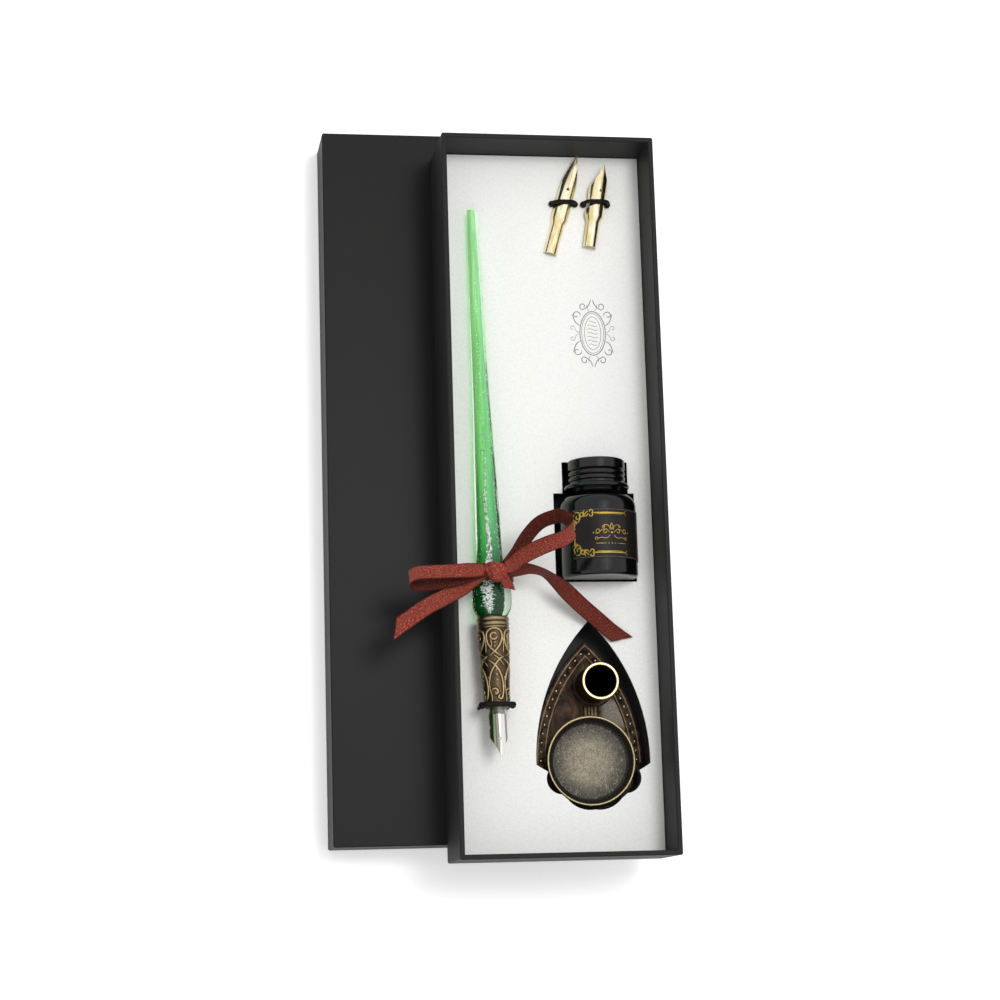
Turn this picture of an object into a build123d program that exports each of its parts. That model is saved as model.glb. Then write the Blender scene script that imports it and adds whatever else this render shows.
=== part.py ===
from build123d import *
import math
import os

# Calligraphy set in a shallow black rigid box: glass dip pen tied down with a
# ribbon bow, two spare nibs under elastics, an ink bottle and a cast stand with
# a pen tube and an ink dish, all in a white card tray.  The lid lies under the
# left side of the open box.  Millimetres, +Z up, +Y along the long side, origin
# at the bottom centre of the whole set.

# ---------------------------------------------------------------- box and lid
BASE_L = 290.0          # outside length of the box
BASE_W = 87.0           # outside width of the box
BASE_H = 35.0           # outside height of the box
BOARD = 2.0             # board of the box
BASE_CORNER = 0.8       # wrapped paper radius of the upright corners
RIM_EDGE = 0.5          # radius along the rim
LID_WALL = 1.4          # board of the lid's walls
LID_TOP = 2.0           # board of the lid's top
LID_FIT = 0.4           # gap between the lid's wall and the box, each side
LID_H = 24.0            # height of the lid
LID_REVEAL = 45.0       # width of the lid that shows to the left of the box
LID_SHIFT = 9.0         # lid pushed back against the box

# -------------------------------------------------------------- tray (insert)
INSERT_FIT = 0.25       # gap between the tray and the box wall
INSERT_DROP = 20.5      # top of the tray card below the rim
CARD_T = 0.8            # white card
SEAT_GAP = 0.1          # what lies in a cut-out above the box floor

# ----------------------------------------------------------------------- pen
PEN_FROM_WALL = 12.15   # tail axis from the left wall
PEN_TAIL_SHARE = 0.398  # share of the free length that lies behind the tail
PEN_LEAN = 0.0173       # sideways travel per millimetre of length
PEN_RISE = 0.0335       # climb per millimetre of length
PEN_LIFT = 0.2          # glass above the card
GLASS_LEN = 169.3       # glass that shows, tail to collar
TAIL_W = 4.1            # across the flats at the tail
GRIP_W = 9.4            # across the flats before the bulb
BULB_D = 16.0           # diameter of the bulb
BULB_AT = 161.6         # bulb centre from the tail
NECK_W = 11.6           # glass at the collar
GLASS_WALL = 1.5        # clear glass round the coloured core
CORE_FIT = 0.3          # room between the core and the clear glass
FOIL_T = 0.15           # silver foil
FOIL_ARC = 96.0         # degrees of the core that the foil covers
SPIGOT_R = 3.9          # glass spigot in the ferrule
SPIGOT_LEN = 11.0
COLLAR_D = 13.0
COLLAR_LEN = 3.8
FERRULE_LEN = 32.0
FERRULE_D0 = 12.4       # at the collar
FERRULE_D1 = 9.6        # at the nib
FERRULE_FIT = 0.1
NIB_DEPTH = 20.2        # nib shank inside the ferrule
NIB_SHOW = 19.6         # pen nib that shows
HOLDER_SHOW = 0.6       # nib holder past the ferrule

# --------------------------------------------------------------------- nibs
NIB_T = 0.4             # sheet of the nibs
SHANK_R = 2.85          # outside radius of a nib's shank
NIB_FIT = 0.1           # shank in the ferrule
SLIT_W = 0.22
VENT_D = 1.3            # breather hole
PEN_NIB_R = 3.6         # blade radius of the pen's nib
LONG_NIB_LEN = 43.6
LONG_NIB_R = 3.7
LONG_NIB_WALL = 38.5    # shank end from the right wall
LONG_NIB_BACK = 42.3    # shank end from the back wall
LONG_NIB_TURN = 16.36   # degrees away from straight back
SHORT_NIB_LEN = 35.5
SHORT_NIB_R = 4.0
SHORT_NIB_WALL = 22.0
SHORT_NIB_BACK = 39.4
SHORT_NIB_TURN = 9.7
SHORT_NIB_ROLL = 14.0   # degrees that the short nib is rolled over
NIB_LIFT = 0.1          # nibs above the card

# ------------------------------------------------------------------ elastics
CORD_R = 0.6
CORD_FIT = 0.15         # room round a cord in its hole
BEAD_R = 1.0
KNOT_R = 0.95
ELASTIC_BACK = 20.8     # nib elastics from the back wall
ELASTIC_HALF = 5.1      # leg to nib axis
ELASTIC_BEND = 3.0
ELASTIC_OVER = 0.35     # cord above what it holds
PEN_ELASTIC_AT = 204.0  # from the pen's tail
PEN_ELASTIC_BEND = 4.4
ANCHOR_DEPTH = 3.0      # knots below the card

# -------------------------------------------------------------------- bottle
BOTTLE_R = 15.4
BOTTLE_LEN = 33.7       # body, base to shoulder
BOTTLE_FROM_RIGHT = 23.2
BOTTLE_FROM_FRONT = 108.3
BOTTLE_WALL = 1.8
BOTTLE_HEEL = 1.6
SHOULDER_R = 5.0
NECK_R = 9.5
NECK_START = 35.3       # from the bottle's base
BEAD_AT = 36.0          # bead round the neck
BEAD_LEN = 2.0
NECK_BEAD_R = 13.1
MOUTH_R = 8.0
CAP_AT = 38.3           # open end of the cap
CAP_LEN = 9.8
CAP_R = 11.6
CAP_BORE_R = 10.0
CAP_TOP = 1.5
CAP_RIDGES = 2
RIDGE_H = 0.7
RIDGE_BAND = 4.4        # length of the ridged part
LINER_T = 0.8
LINER_GAP = 0.1
INK_LEVEL = 7.0         # ink surface above the bottle's axis
INK_FIT = 0.05
LABEL_T = 0.2
LABEL_FIT = 0.02
LABEL_AT = 6.3          # label from the bottle's base
LABEL_LEN = 20.0
LABEL_FROM = -52.0      # degrees from the top, left edge
LABEL_ARC = 154.0

# --------------------------------------------------------------- bottle cut-out
CUT_LEFT = 1.8          # room beside the bottle
CUT_RIGHT = 0.5
CUT_FRONT = 0.5
CUT_BACK = 1.9
CAP_CUT_LEFT = 1.8
CAP_CUT_RIGHT = 1.9
CAP_CUT_END = 0.3

# --------------------------------------------------------------------- stand
STAND_FROM_RIGHT = 27.8
STAND_FROM_FRONT = 36.7  # dish centre from the front wall
PLATE_T = 2.4
PLATE_HALF = 21.9       # half width at the shoulders
PLATE_TIP = 48.2        # tip ahead of the dish centre
PLATE_SHOULDER = -1.0
PLATE_ARC = 66.0        # radius of the two long sides
PLATE_LOBE = (17.3, -3.7, 17.7, -8.4, 12.2, -12.2)
PLATE_FOOT = (9.8, -14.2, 6.2, -17.5, -18.4)
CUT_MARGIN = 1.1        # cut-out outside the plate
CUT_TIP = 7.4           # cut-out tip ahead of the plate's tip
CUT_ARC = 80.0
INLAY_T = 0.15
RIDGE_OUT = 0.8         # outer raised line from the edge
RIDGE_IN = 3.9          # inner raised line from the edge
RIDGE_W = 0.5
RIDGE_T = 0.35
STUD_IN = 2.4           # studs from the edge
STUD_R = 0.55
STUDS = 14
TUBE_R = 7.5
TUBE_WALL = 1.2
TUBE_H = 16.5
TUBE_X = 2.7            # tube beside the plate's centre line
TUBE_Y = 30.6           # tube ahead of the dish centre
TUBE_LIP = 0.8
FLANGE_R = 8.3
FLANGE_T = 0.9
DISH_R = 17.9
DISH_FOOT_R = 16.7
DISH_H = 6.0
DISH_FLOOR = 1.8
DISH_WALL = 0.9
RIB_COUNT = 4
RIB_W = 0.8
RIB_LEN = 4.0
RIB_T = 0.6

# -------------------------------------------------------------------- ribbon
RIBBON_W = 6.5
RIBBON_T = 0.4
RIBBON_AT = 152.2       # band from the pen's tail
RIBBON_ROOM = 0.45      # room round the bulb inside the band
BAND_CORNER = 0.9       # inner corner of the band
SLIT_FIT = 0.3
GROOVE = 1.6            # groove under the card for the band
KNOT_L = 10.0
KNOT_W = 8.6
KNOT_H = 5.2
KNOT_EDGE = 1.6

os.makedirs("parts", exist_ok=True)

# ----------------------------------------------------------- derived datums
LID_L = BASE_L + 2 * (LID_FIT + LID_WALL)
LID_W = BASE_W + 2 * (LID_FIT + LID_WALL)
BX = LID_REVEAL / 2
Y_LOW = min(-BASE_L / 2, LID_SHIFT - LID_L / 2)
Y_HIGH = max(BASE_L / 2, LID_SHIFT + LID_L / 2)
BY = -(Y_LOW + Y_HIGH) / 2
LID_X = BX - BASE_W / 2 - LID_REVEAL + LID_W / 2
LID_Y = BY + LID_SHIFT
LEFT = BX - BASE_W / 2 + BOARD
RIGHT = BX + BASE_W / 2 - BOARD
FRONT = BY - BASE_L / 2 + BOARD
BACK = BY + BASE_L / 2 - BOARD
FLOOR_Z = LID_H + BOARD
RIM_Z = LID_H + BASE_H
CARD_Z = RIM_Z - INSERT_DROP
FOAM_TOP = CARD_Z - CARD_T
FOAM_T = FOAM_TOP - FLOOR_Z

# Pen frame: tail point, axis, side and up.
PEN_LEN = GLASS_LEN + COLLAR_LEN + FERRULE_LEN + NIB_SHOW
PEN_AXIS = Vector(PEN_LEAN, -1, PEN_RISE).normalized()
PEN_SIDE = Vector(0, 0, 1).cross(PEN_AXIS).normalized()
PEN_UP = PEN_AXIS.cross(PEN_SIDE)
TAIL_X = LEFT + PEN_FROM_WALL
TAIL_Y = BACK - (BACK - FRONT - PEN_LEN) * PEN_TAIL_SHARE
BULB_Z = CARD_Z + PEN_LIFT + BULB_D / 2
TAIL = Vector(TAIL_X, TAIL_Y, BULB_Z) - Vector(0, 0, PEN_AXIS.Z * BULB_AT)


def pen_at(s):
    """Point on the pen's axis, s from the tail."""
    return TAIL + PEN_AXIS * s


def pen_section(s):
    """Plane across the pen at s."""
    return Plane(origin=pen_at(s), x_dir=PEN_SIDE, z_dir=PEN_AXIS)


# Profile plane: local x is the radius, local y the distance from the tail.
PEN_PROFILE = Plane(origin=TAIL, x_dir=PEN_SIDE, z_dir=PEN_SIDE.cross(PEN_AXIS))
PEN_LINE = Axis(TAIL, PEN_AXIS)
COLLAR_END = GLASS_LEN + COLLAR_LEN
FERRULE_END = COLLAR_END + FERRULE_LEN


# ------------------------------------------------------------------------ lid
with BuildPart() as lid_shell:
    with BuildSketch(Plane.XY):
        with Locations((LID_X, LID_Y)):
            Rectangle(LID_W, LID_L)
    extrude(amount=LID_H)
    fillet(lid_shell.edges().filter_by(Axis.Z), radius=BASE_CORNER)
    fillet(lid_shell.edges().group_by(Axis.Z)[-1], radius=RIM_EDGE)
    with BuildSketch(Plane.XY):
        with Locations((LID_X, LID_Y)):
            Rectangle(LID_W - 2 * LID_WALL, LID_L - 2 * LID_WALL)
    extrude(amount=LID_H - LID_TOP, mode=Mode.SUBTRACT)
lid_shell.part.label = "lid_shell"

# ----------------------------------------------------------------------- base
with BuildPart() as base_shell:
    with BuildSketch(Plane.XY.offset(LID_H)):
        with Locations((BX, BY)):
            Rectangle(BASE_W, BASE_L)
    extrude(amount=BASE_H)
    fillet(base_shell.edges().filter_by(Axis.Z), radius=BASE_CORNER)
    with BuildSketch(Plane.XY.offset(FLOOR_Z)):
        with Locations((BX, BY)):
            Rectangle(BASE_W - 2 * BOARD, BASE_L - 2 * BOARD)
    extrude(amount=BASE_H, mode=Mode.SUBTRACT)
    fillet(base_shell.edges().group_by(Axis.Z)[-1], radius=RIM_EDGE)
base_shell.part.label = "base_shell"

# ------------------------------------------------------------- bottle datums
BOTTLE_X = RIGHT - BOTTLE_FROM_RIGHT
BOTTLE_Y = FRONT + BOTTLE_FROM_FRONT
BOTTLE_Z = FLOOR_Z + SEAT_GAP + BOTTLE_R
CAP_END = CAP_AT + CAP_LEN

# -------------------------------------------------------------- stand datums
STAND_X = RIGHT - STAND_FROM_RIGHT
STAND_Y = FRONT + STAND_FROM_FRONT
PLATE_Z = FLOOR_Z + SEAT_GAP
PLATE_TOP = PLATE_Z + PLATE_T


def arc_centre(p, q, radius):
    """Centre on the left of the arc that runs from shoulder p up to tip q."""
    mx, my = (p[0] + q[0]) / 2, (p[1] + q[1]) / 2
    dx, dy = q[0] - p[0], q[1] - p[1]
    half = math.hypot(dx, dy) / 2
    rise = math.sqrt(max(radius * radius - half * half, 0.0))
    return (mx - dy / (2 * half) * rise, my + dx / (2 * half) * rise)


def shield(half, shoulder, tip, radius, lobe, foot, grow):
    """Closed outline: two long arcs to a tip, two side lobes and a foot."""
    with BuildSketch(Plane.XY) as outline:
        with BuildLine():
            right = RadiusArc((half, shoulder), (0, tip), -radius)
            step = ThreePointArc((half, shoulder), (lobe[0] + grow + 1.2, (shoulder + lobe[1] - grow) / 2 - 0.5), (lobe[0] + grow, lobe[1] - grow * 0.6))
            side = ThreePointArc(step @ 1, (lobe[2] + grow, lobe[3] - grow * 0.5), (lobe[4] + grow, lobe[5] - grow))
            ledge = Line(side @ 1, (foot[0] + grow, foot[1] - grow))
            toe = ThreePointArc(ledge @ 1, (foot[2] + grow * 0.7, foot[3] - grow * 0.9), (0, foot[4] - grow))
            Line(toe @ 1, (0, tip))
        make_face()
        mirror(about=Plane.YZ)
    return outline.sketch


plate_outline = shield(PLATE_HALF, PLATE_SHOULDER, PLATE_TIP, PLATE_ARC, PLATE_LOBE, PLATE_FOOT, 0)
stand_hole = shield(PLATE_HALF + CUT_MARGIN, PLATE_SHOULDER - CUT_MARGIN / 2, PLATE_TIP + CUT_TIP, CUT_ARC, PLATE_LOBE, PLATE_FOOT, CUT_MARGIN)

# -------------------------------------------------------------- nib datums
def nib_frame(wall, back, turn, roll, radius):
    """Shank end, axis and side of a nib that lies crown up on the card."""
    axis = Vector(math.sin(math.radians(turn)), math.cos(math.radians(turn)), 0)
    side = Vector(0, 0, 1).cross(axis).normalized()
    up = Vector(0, 0, 1)
    tilted = side * math.cos(math.radians(roll)) + up * math.sin(math.radians(roll))
    lift = NIB_LIFT + radius * math.sin(abs(math.radians(roll)))
    return Vector(RIGHT - wall, BACK - back, CARD_Z + lift), axis, tilted


LONG_END, LONG_AXIS, LONG_SIDE = nib_frame(LONG_NIB_WALL, LONG_NIB_BACK, LONG_NIB_TURN, 0, LONG_NIB_R)
SHORT_END, SHORT_AXIS, SHORT_SIDE = nib_frame(SHORT_NIB_WALL, SHORT_NIB_BACK, SHORT_NIB_TURN, SHORT_NIB_ROLL, SHORT_NIB_R)


def elastic_spot(end, axis):
    """Where a nib's axis passes under its elastic, in plan."""
    run = (BACK - ELASTIC_BACK - end.Y) / axis.Y
    return Vector(end.X + axis.X * run, BACK - ELASTIC_BACK, CARD_Z)


LONG_SPOT = elastic_spot(LONG_END, LONG_AXIS)
SHORT_SPOT = elastic_spot(SHORT_END, SHORT_AXIS)
PEN_SPOT = pen_at(PEN_ELASTIC_AT)
PEN_ELASTIC_HALF = FERRULE_D1 / 2 + ELASTIC_OVER + CORD_R
ELASTIC_LEGS = [(spot.X + sign * half, spot.Y)
                for spot, half in ((LONG_SPOT, ELASTIC_HALF), (SHORT_SPOT, ELASTIC_HALF), (PEN_SPOT, PEN_ELASTIC_HALF))
                for sign in (-1, 1)]

# --------------------------------------------------------------- band datums
BAND_C = pen_at(RIBBON_AT)
BAND_HALF = BULB_D / 2 + RIBBON_ROOM
BAND_TOP = CARD_Z + PEN_LIFT + BULB_D + RIBBON_ROOM
BAND_BOTTOM = FOAM_TOP - GROOVE + SLIT_FIT
KNOT_Z = BAND_TOP + RIBBON_T

# --------------------------------------------------------------------- insert
with BuildSketch(Plane.XY) as tray_outline:
    with Locations((BX, BY)):
        Rectangle(BASE_W - 2 * (BOARD + INSERT_FIT), BASE_L - 2 * (BOARD + INSERT_FIT))
    with Locations((BOTTLE_X - BOTTLE_R - CUT_LEFT, BOTTLE_Y - CUT_FRONT)):
        Rectangle(CUT_LEFT + 2 * BOTTLE_R + CUT_RIGHT, CUT_FRONT + BOTTLE_LEN + CUT_BACK, align=(Align.MIN, Align.MIN), mode=Mode.SUBTRACT)
    with Locations((BOTTLE_X - CAP_R - CAP_CUT_LEFT, BOTTLE_Y)):
        Rectangle(CAP_CUT_LEFT + 2 * CAP_R + CAP_CUT_RIGHT, CAP_END + CAP_CUT_END, align=(Align.MIN, Align.MIN), mode=Mode.SUBTRACT)
    with Locations((STAND_X, STAND_Y)):
        add(stand_hole, mode=Mode.SUBTRACT)

with BuildPart() as insert_card:
    with BuildSketch(Plane.XY.offset(FOAM_TOP)):
        add(tray_outline.sketch)
        with Locations(*ELASTIC_LEGS):
            Circle(CORD_R + CORD_FIT, mode=Mode.SUBTRACT)
        with Locations((BAND_C.X - BAND_HALF - RIBBON_T / 2, BAND_C.Y), (BAND_C.X + BAND_HALF + RIBBON_T / 2, BAND_C.Y)):
            Rectangle(RIBBON_T + 2 * SLIT_FIT, RIBBON_W + 2 * SLIT_FIT, mode=Mode.SUBTRACT)
    extrude(amount=CARD_T)
insert_card.part.label = "insert_card"

with BuildPart() as insert_foam:
    with BuildSketch(Plane.XY.offset(FLOOR_Z)):
        add(tray_outline.sketch)
    extrude(amount=FOAM_T)
    with BuildSketch(Plane.XY.offset(FOAM_TOP - ANCHOR_DEPTH)):
        with Locations(*ELASTIC_LEGS):
            Circle(KNOT_R + CORD_FIT)
    extrude(amount=ANCHOR_DEPTH, mode=Mode.SUBTRACT)
    with BuildSketch(Plane.XY.offset(FOAM_TOP - GROOVE)):
        with Locations((BAND_C.X, BAND_C.Y)):
            Rectangle(2 * (BAND_HALF + RIBBON_T + SLIT_FIT), RIBBON_W + 2 * SLIT_FIT)
    extrude(amount=GROOVE, mode=Mode.SUBTRACT)
insert_foam.part.label = "insert_foam"


# ------------------------------------------------------------------- elastics
def elastic(x, y, half, crown, bend):
    """Cord over a held piece, a bead on the card and a knot under it at each leg."""
    top = crown + ELASTIC_OVER + CORD_R
    low = FOAM_TOP - KNOT_R
    with BuildPart() as cord:
        with BuildLine() as run:
            FilletPolyline((x - half, y, low), (x - half, y, top), (x + half, y, top), (x + half, y, low), radius=bend)
        with BuildSketch(Plane(origin=run.line @ 0, z_dir=run.line % 0)):
            Circle(CORD_R)
        sweep()
        with Locations((x - half, y, CARD_Z + BEAD_R * 0.62), (x + half, y, CARD_Z + BEAD_R * 0.62)):
            Sphere(BEAD_R)
        with Locations((x - half, y, low - KNOT_R * 0.6), (x + half, y, low - KNOT_R * 0.6)):
            Sphere(KNOT_R)
        with BuildSketch(Plane.XY.offset(FOAM_TOP)):
            with Locations((x, y)):
                Rectangle(2 * half + 4 * BEAD_R, 4 * BEAD_R)
            with Locations((x - half, y), (x + half, y)):
                Circle(CORD_R, mode=Mode.SUBTRACT)
        extrude(amount=CARD_T, mode=Mode.SUBTRACT)
    return cord


nib_elastic_long = elastic(LONG_SPOT.X, LONG_SPOT.Y, ELASTIC_HALF, CARD_Z + NIB_LIFT + LONG_NIB_R, ELASTIC_BEND)
nib_elastic_long.part.label = "nib_elastic_long"
nib_elastic_short = elastic(SHORT_SPOT.X, SHORT_SPOT.Y, ELASTIC_HALF, SHORT_END.Z + SHORT_NIB_R, ELASTIC_BEND)
nib_elastic_short.part.label = "nib_elastic_short"
pen_elastic = elastic(PEN_SPOT.X, PEN_SPOT.Y, PEN_ELASTIC_HALF, PEN_SPOT.Z + FERRULE_D1 / 2, PEN_ELASTIC_BEND)
pen_elastic.part.label = "pen_elastic"

# ------------------------------------------------------------------ pen glass
GLASS_STATIONS = [
    (0.0, TAIL_W, 0.30, 0.0),
    (40.0, TAIL_W + 0.18 * (GRIP_W - TAIL_W), 0.28, 8.0),
    (80.0, TAIL_W + 0.36 * (GRIP_W - TAIL_W), 0.27, 16.0),
    (121.0, TAIL_W + 0.74 * (GRIP_W - TAIL_W), 0.28, 24.0),
    (146.0, GRIP_W, 0.34, 30.0),
    (153.0, 0.80 * BULB_D, 0.44, 32.0),
    (BULB_AT, 0.985 * BULB_D, 0.485, 33.0),
    (166.2, 0.92 * BULB_D, 0.485, 34.0),
    (GLASS_LEN, NECK_W, 0.485, 34.0),
]
CORE_STATIONS = [(4.0, 0.7), (80.0, TAIL_W * 0.48), (121.0, TAIL_W * 0.68), (146.0, GRIP_W / 2 - GLASS_WALL), (BULB_AT, BULB_D / 2 - GLASS_WALL - 0.8), (166.6, BULB_D / 2 - GLASS_WALL - 1.9)]


with BuildPart() as pen_glass:
    for s, width, share, twist in GLASS_STATIONS:
        with BuildSketch(pen_section(s)):
            RectangleRounded(width, width, width * share, rotation=twist)
    loft(ruled=True)
    with BuildSketch(pen_section(GLASS_LEN)):
        Circle(SPIGOT_R)
    extrude(amount=SPIGOT_LEN)
    with BuildSketch(PEN_PROFILE):
        with BuildLine():
            Polyline((0, CORE_STATIONS[0][0]), *[(r + CORE_FIT, s) for s, r in CORE_STATIONS], (0, CORE_STATIONS[-1][0]), close=True)
        make_face()
    revolve(axis=PEN_LINE, mode=Mode.SUBTRACT)
pen_glass.part.label = "pen_glass"

with BuildPart() as pen_core:
    with BuildSketch(PEN_PROFILE):
        with BuildLine():
            Polyline((0, CORE_STATIONS[0][0]), *[(r, s) for s, r in CORE_STATIONS], (0, CORE_STATIONS[-1][0]), close=True)
        make_face()
    revolve(axis=PEN_LINE)
pen_core.part.label = "pen_core"

FOIL_START = PEN_SIDE * math.cos(math.radians(90 - FOIL_ARC / 2)) + PEN_UP * math.sin(math.radians(90 - FOIL_ARC / 2))
with BuildPart() as pen_foil:
    with BuildSketch(Plane(origin=TAIL, x_dir=FOIL_START, z_dir=FOIL_START.cross(PEN_AXIS))):
        with BuildLine():
            Polyline(*[(r + CORE_FIT / 2 - FOIL_T / 2, s) for s, r in CORE_STATIONS[1:]],
                     *[(r + CORE_FIT / 2 + FOIL_T / 2, s) for s, r in reversed(CORE_STATIONS[1:])], close=True)
        make_face()
    revolve(axis=PEN_LINE, revolution_arc=FOIL_ARC)
pen_foil.part.label = "pen_foil"

# ------------------------------------------------------------ collar, ferrule
with BuildPart() as pen_collars:
    with BuildSketch(PEN_PROFILE):
        with BuildLine():
            ring = COLLAR_LEN / 2
            out = COLLAR_D / 2
            low = Polyline((SPIGOT_R + FERRULE_FIT, GLASS_LEN), (out - 0.9, GLASS_LEN))
            first = ThreePointArc(low @ 1, (out, GLASS_LEN + ring / 2), (out - 0.9, GLASS_LEN + ring))
            second = ThreePointArc(first @ 1, (out, GLASS_LEN + ring * 1.5), (out - 0.9, GLASS_LEN + COLLAR_LEN))
            Polyline(second @ 1, (SPIGOT_R + FERRULE_FIT, COLLAR_END), low @ 0)
        make_face()
    revolve(axis=PEN_LINE)
pen_collars.part.label = "pen_collars"

BORE_R = SHANK_R + NIB_FIT
with BuildPart() as pen_ferrule:
    with BuildSketch(PEN_PROFILE):
        with BuildLine():
            Polyline((SPIGOT_R + FERRULE_FIT, COLLAR_END), (FERRULE_D0 / 2, COLLAR_END), (FERRULE_D1 / 2, FERRULE_END - 1.4),
                     (FERRULE_D1 / 2, FERRULE_END), (BORE_R, FERRULE_END), (BORE_R, FERRULE_END - NIB_DEPTH - 0.6),
                     (0, FERRULE_END - NIB_DEPTH - 0.6), (0, GLASS_LEN + SPIGOT_LEN + FERRULE_FIT),
                     (SPIGOT_R + FERRULE_FIT, GLASS_LEN + SPIGOT_LEN + FERRULE_FIT), close=True)
        make_face()
    revolve(axis=PEN_LINE)
    fillet(pen_ferrule.edges().filter_by(GeomType.CIRCLE).sort_by(Axis.Y)[:1], radius=0.4)
pen_ferrule.part.label = "pen_ferrule"

HOLDER_R = SHANK_R - NIB_T - NIB_FIT
with BuildPart() as nib_holder:
    with BuildSketch(pen_section(FERRULE_END - NIB_DEPTH - 0.6)):
        Circle(HOLDER_R)
    extrude(amount=NIB_DEPTH + 0.6 + HOLDER_SHOW)
    chamfer(nib_holder.edges().sort_by(Axis.Y)[0], length=0.4)
nib_holder.part.label = "nib_holder"


# ----------------------------------------------------------------------- nibs
def nib(end, axis, side, length, radius, flare, widths):
    """Half-round sheet nib: shank, flared blade cut to a point, slit and vent.

    The widths are (distance behind the tip, half width) pairs from the tip on.
    """
    flat = Plane(origin=end, x_dir=side, z_dir=side.cross(axis))
    line = Axis(end, axis)
    with BuildPart() as blade:
        with BuildSketch(flat):
            with BuildLine():
                Polyline((SHANK_R, 0), (SHANK_R, flare), (radius, flare + 2.4), (radius, length),
                         (radius - NIB_T, length), (radius - NIB_T, flare + 2.4), (SHANK_R - NIB_T, flare), (SHANK_R - NIB_T, 0), close=True)
            make_face()
        revolve(axis=line, revolution_arc=180)
        with BuildSketch(flat):
            with BuildLine():
                edge = Spline(*[(w, length - back) for back, w in widths])
                other = Spline(*[(-w, length - back) for back, w in widths])
                Polyline(edge @ 1, (radius + 1, flare + 2.4), (radius + 1, -1), (-radius - 1, -1), (-radius - 1, flare + 2.4), other @ 1)
                Line(edge @ 0, other @ 0)
            make_face()
        extrude(amount=2 * radius, both=True, mode=Mode.INTERSECT)
        with BuildSketch(flat):
            with Locations((0, length - widths[-1][0] * 0.62)):
                Circle(VENT_D / 2)
                Rectangle(SLIT_W, widths[-1][0], align=(Align.CENTER, Align.MIN))
        extrude(amount=2 * radius, both=True, mode=Mode.SUBTRACT)
    return blade


PEN_NIB_END = pen_at(FERRULE_END - NIB_DEPTH)
pen_nib = nib(PEN_NIB_END, PEN_AXIS, PEN_SIDE, NIB_DEPTH + NIB_SHOW, PEN_NIB_R, NIB_DEPTH + 0.3,
              [(0, 0.28), (3.4, 1.15), (8.0, 3.45), (12.0, 3.2)])
pen_nib.part.label = "pen_nib"
spare_nib_long = nib(LONG_END, LONG_AXIS, LONG_SIDE, LONG_NIB_LEN, LONG_NIB_R, 13.0,
                     [(0, 0.28), (2.6, 0.8), (8.1, 2.3), (12.5, 3.15), (19.0, 3.55), (25.0, 3.62)])
spare_nib_long.part.label = "spare_nib_long"
spare_nib_short = nib(SHORT_END, SHORT_AXIS, SHORT_SIDE, SHORT_NIB_LEN, SHORT_NIB_R, 11.0,
                      [(0, 0.28), (4.3, 1.5), (7.8, 3.1), (11.4, 3.85), (15.0, 3.6), (18.5, 3.2)])
spare_nib_short.part.label = "spare_nib_short"

# --------------------------------------------------------------------- bottle
BOTTLE_PROFILE = Plane(origin=(BOTTLE_X, BOTTLE_Y, BOTTLE_Z))
BOTTLE_LINE = Axis((BOTTLE_X, BOTTLE_Y, BOTTLE_Z), (0, 1, 0))
MOUTH = CAP_END - CAP_TOP - LINER_T - LINER_GAP


def bore_profile(shrink):
    """Closed half profile of the bottle's hollow, smaller by shrink."""
    with BuildSketch(Plane.XY) as hollow:
        with BuildLine():
            Polyline((0, BOTTLE_WALL + shrink), (BOTTLE_R - BOTTLE_WALL - shrink, BOTTLE_WALL + shrink),
                     (BOTTLE_R - BOTTLE_WALL - shrink, BOTTLE_LEN - SHOULDER_R), (MOUTH_R - shrink, BOTTLE_LEN - shrink),
                     (MOUTH_R - shrink, MOUTH - (3.0 if shrink else 0.0)), (0, MOUTH - (3.0 if shrink else 0.0)), close=True)
        make_face()
    return hollow.sketch


with BuildPart() as bottle_glass:
    with BuildSketch(BOTTLE_PROFILE):
        with BuildLine():
            heel = Polyline((0, 0), (BOTTLE_R - BOTTLE_HEEL, 0))
            RadiusArc((BOTTLE_X + BOTTLE_R - BOTTLE_HEEL - BOTTLE_X, 0), (BOTTLE_R, BOTTLE_HEEL), -BOTTLE_HEEL)
            Line((BOTTLE_R, BOTTLE_HEEL), (BOTTLE_R, BOTTLE_LEN - SHOULDER_R))
            RadiusArc((BOTTLE_R, BOTTLE_LEN - SHOULDER_R), (BOTTLE_R - SHOULDER_R, BOTTLE_LEN), -SHOULDER_R)
            Polyline((BOTTLE_R - SHOULDER_R, BOTTLE_LEN), (NECK_R, NECK_START), (NECK_R, MOUTH), (0, MOUTH), (0, 0))
        make_face()
        with BuildLine():
            Polyline((MOUTH_R, BEAD_AT), (NECK_BEAD_R - BEAD_LEN / 2, BEAD_AT))
            ThreePointArc((NECK_BEAD_R - BEAD_LEN / 2, BEAD_AT), (NECK_BEAD_R, BEAD_AT + BEAD_LEN / 2), (NECK_BEAD_R - BEAD_LEN / 2, BEAD_AT + BEAD_LEN))
            Polyline((NECK_BEAD_R - BEAD_LEN / 2, BEAD_AT + BEAD_LEN), (MOUTH_R, BEAD_AT + BEAD_LEN), (MOUTH_R, BEAD_AT))
        make_face()
        add(bore_profile(0), mode=Mode.SUBTRACT)
    revolve(axis=BOTTLE_LINE)
bottle_glass.part.label = "bottle_glass"

with BuildPart() as ink:
    with BuildSketch(BOTTLE_PROFILE):
        add(bore_profile(INK_FIT))
    revolve(axis=BOTTLE_LINE)
    split(bisect_by=Plane.XY.offset(BOTTLE_Z + INK_LEVEL), keep=Keep.BOTTOM)
ink.part.label = "ink"

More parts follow.
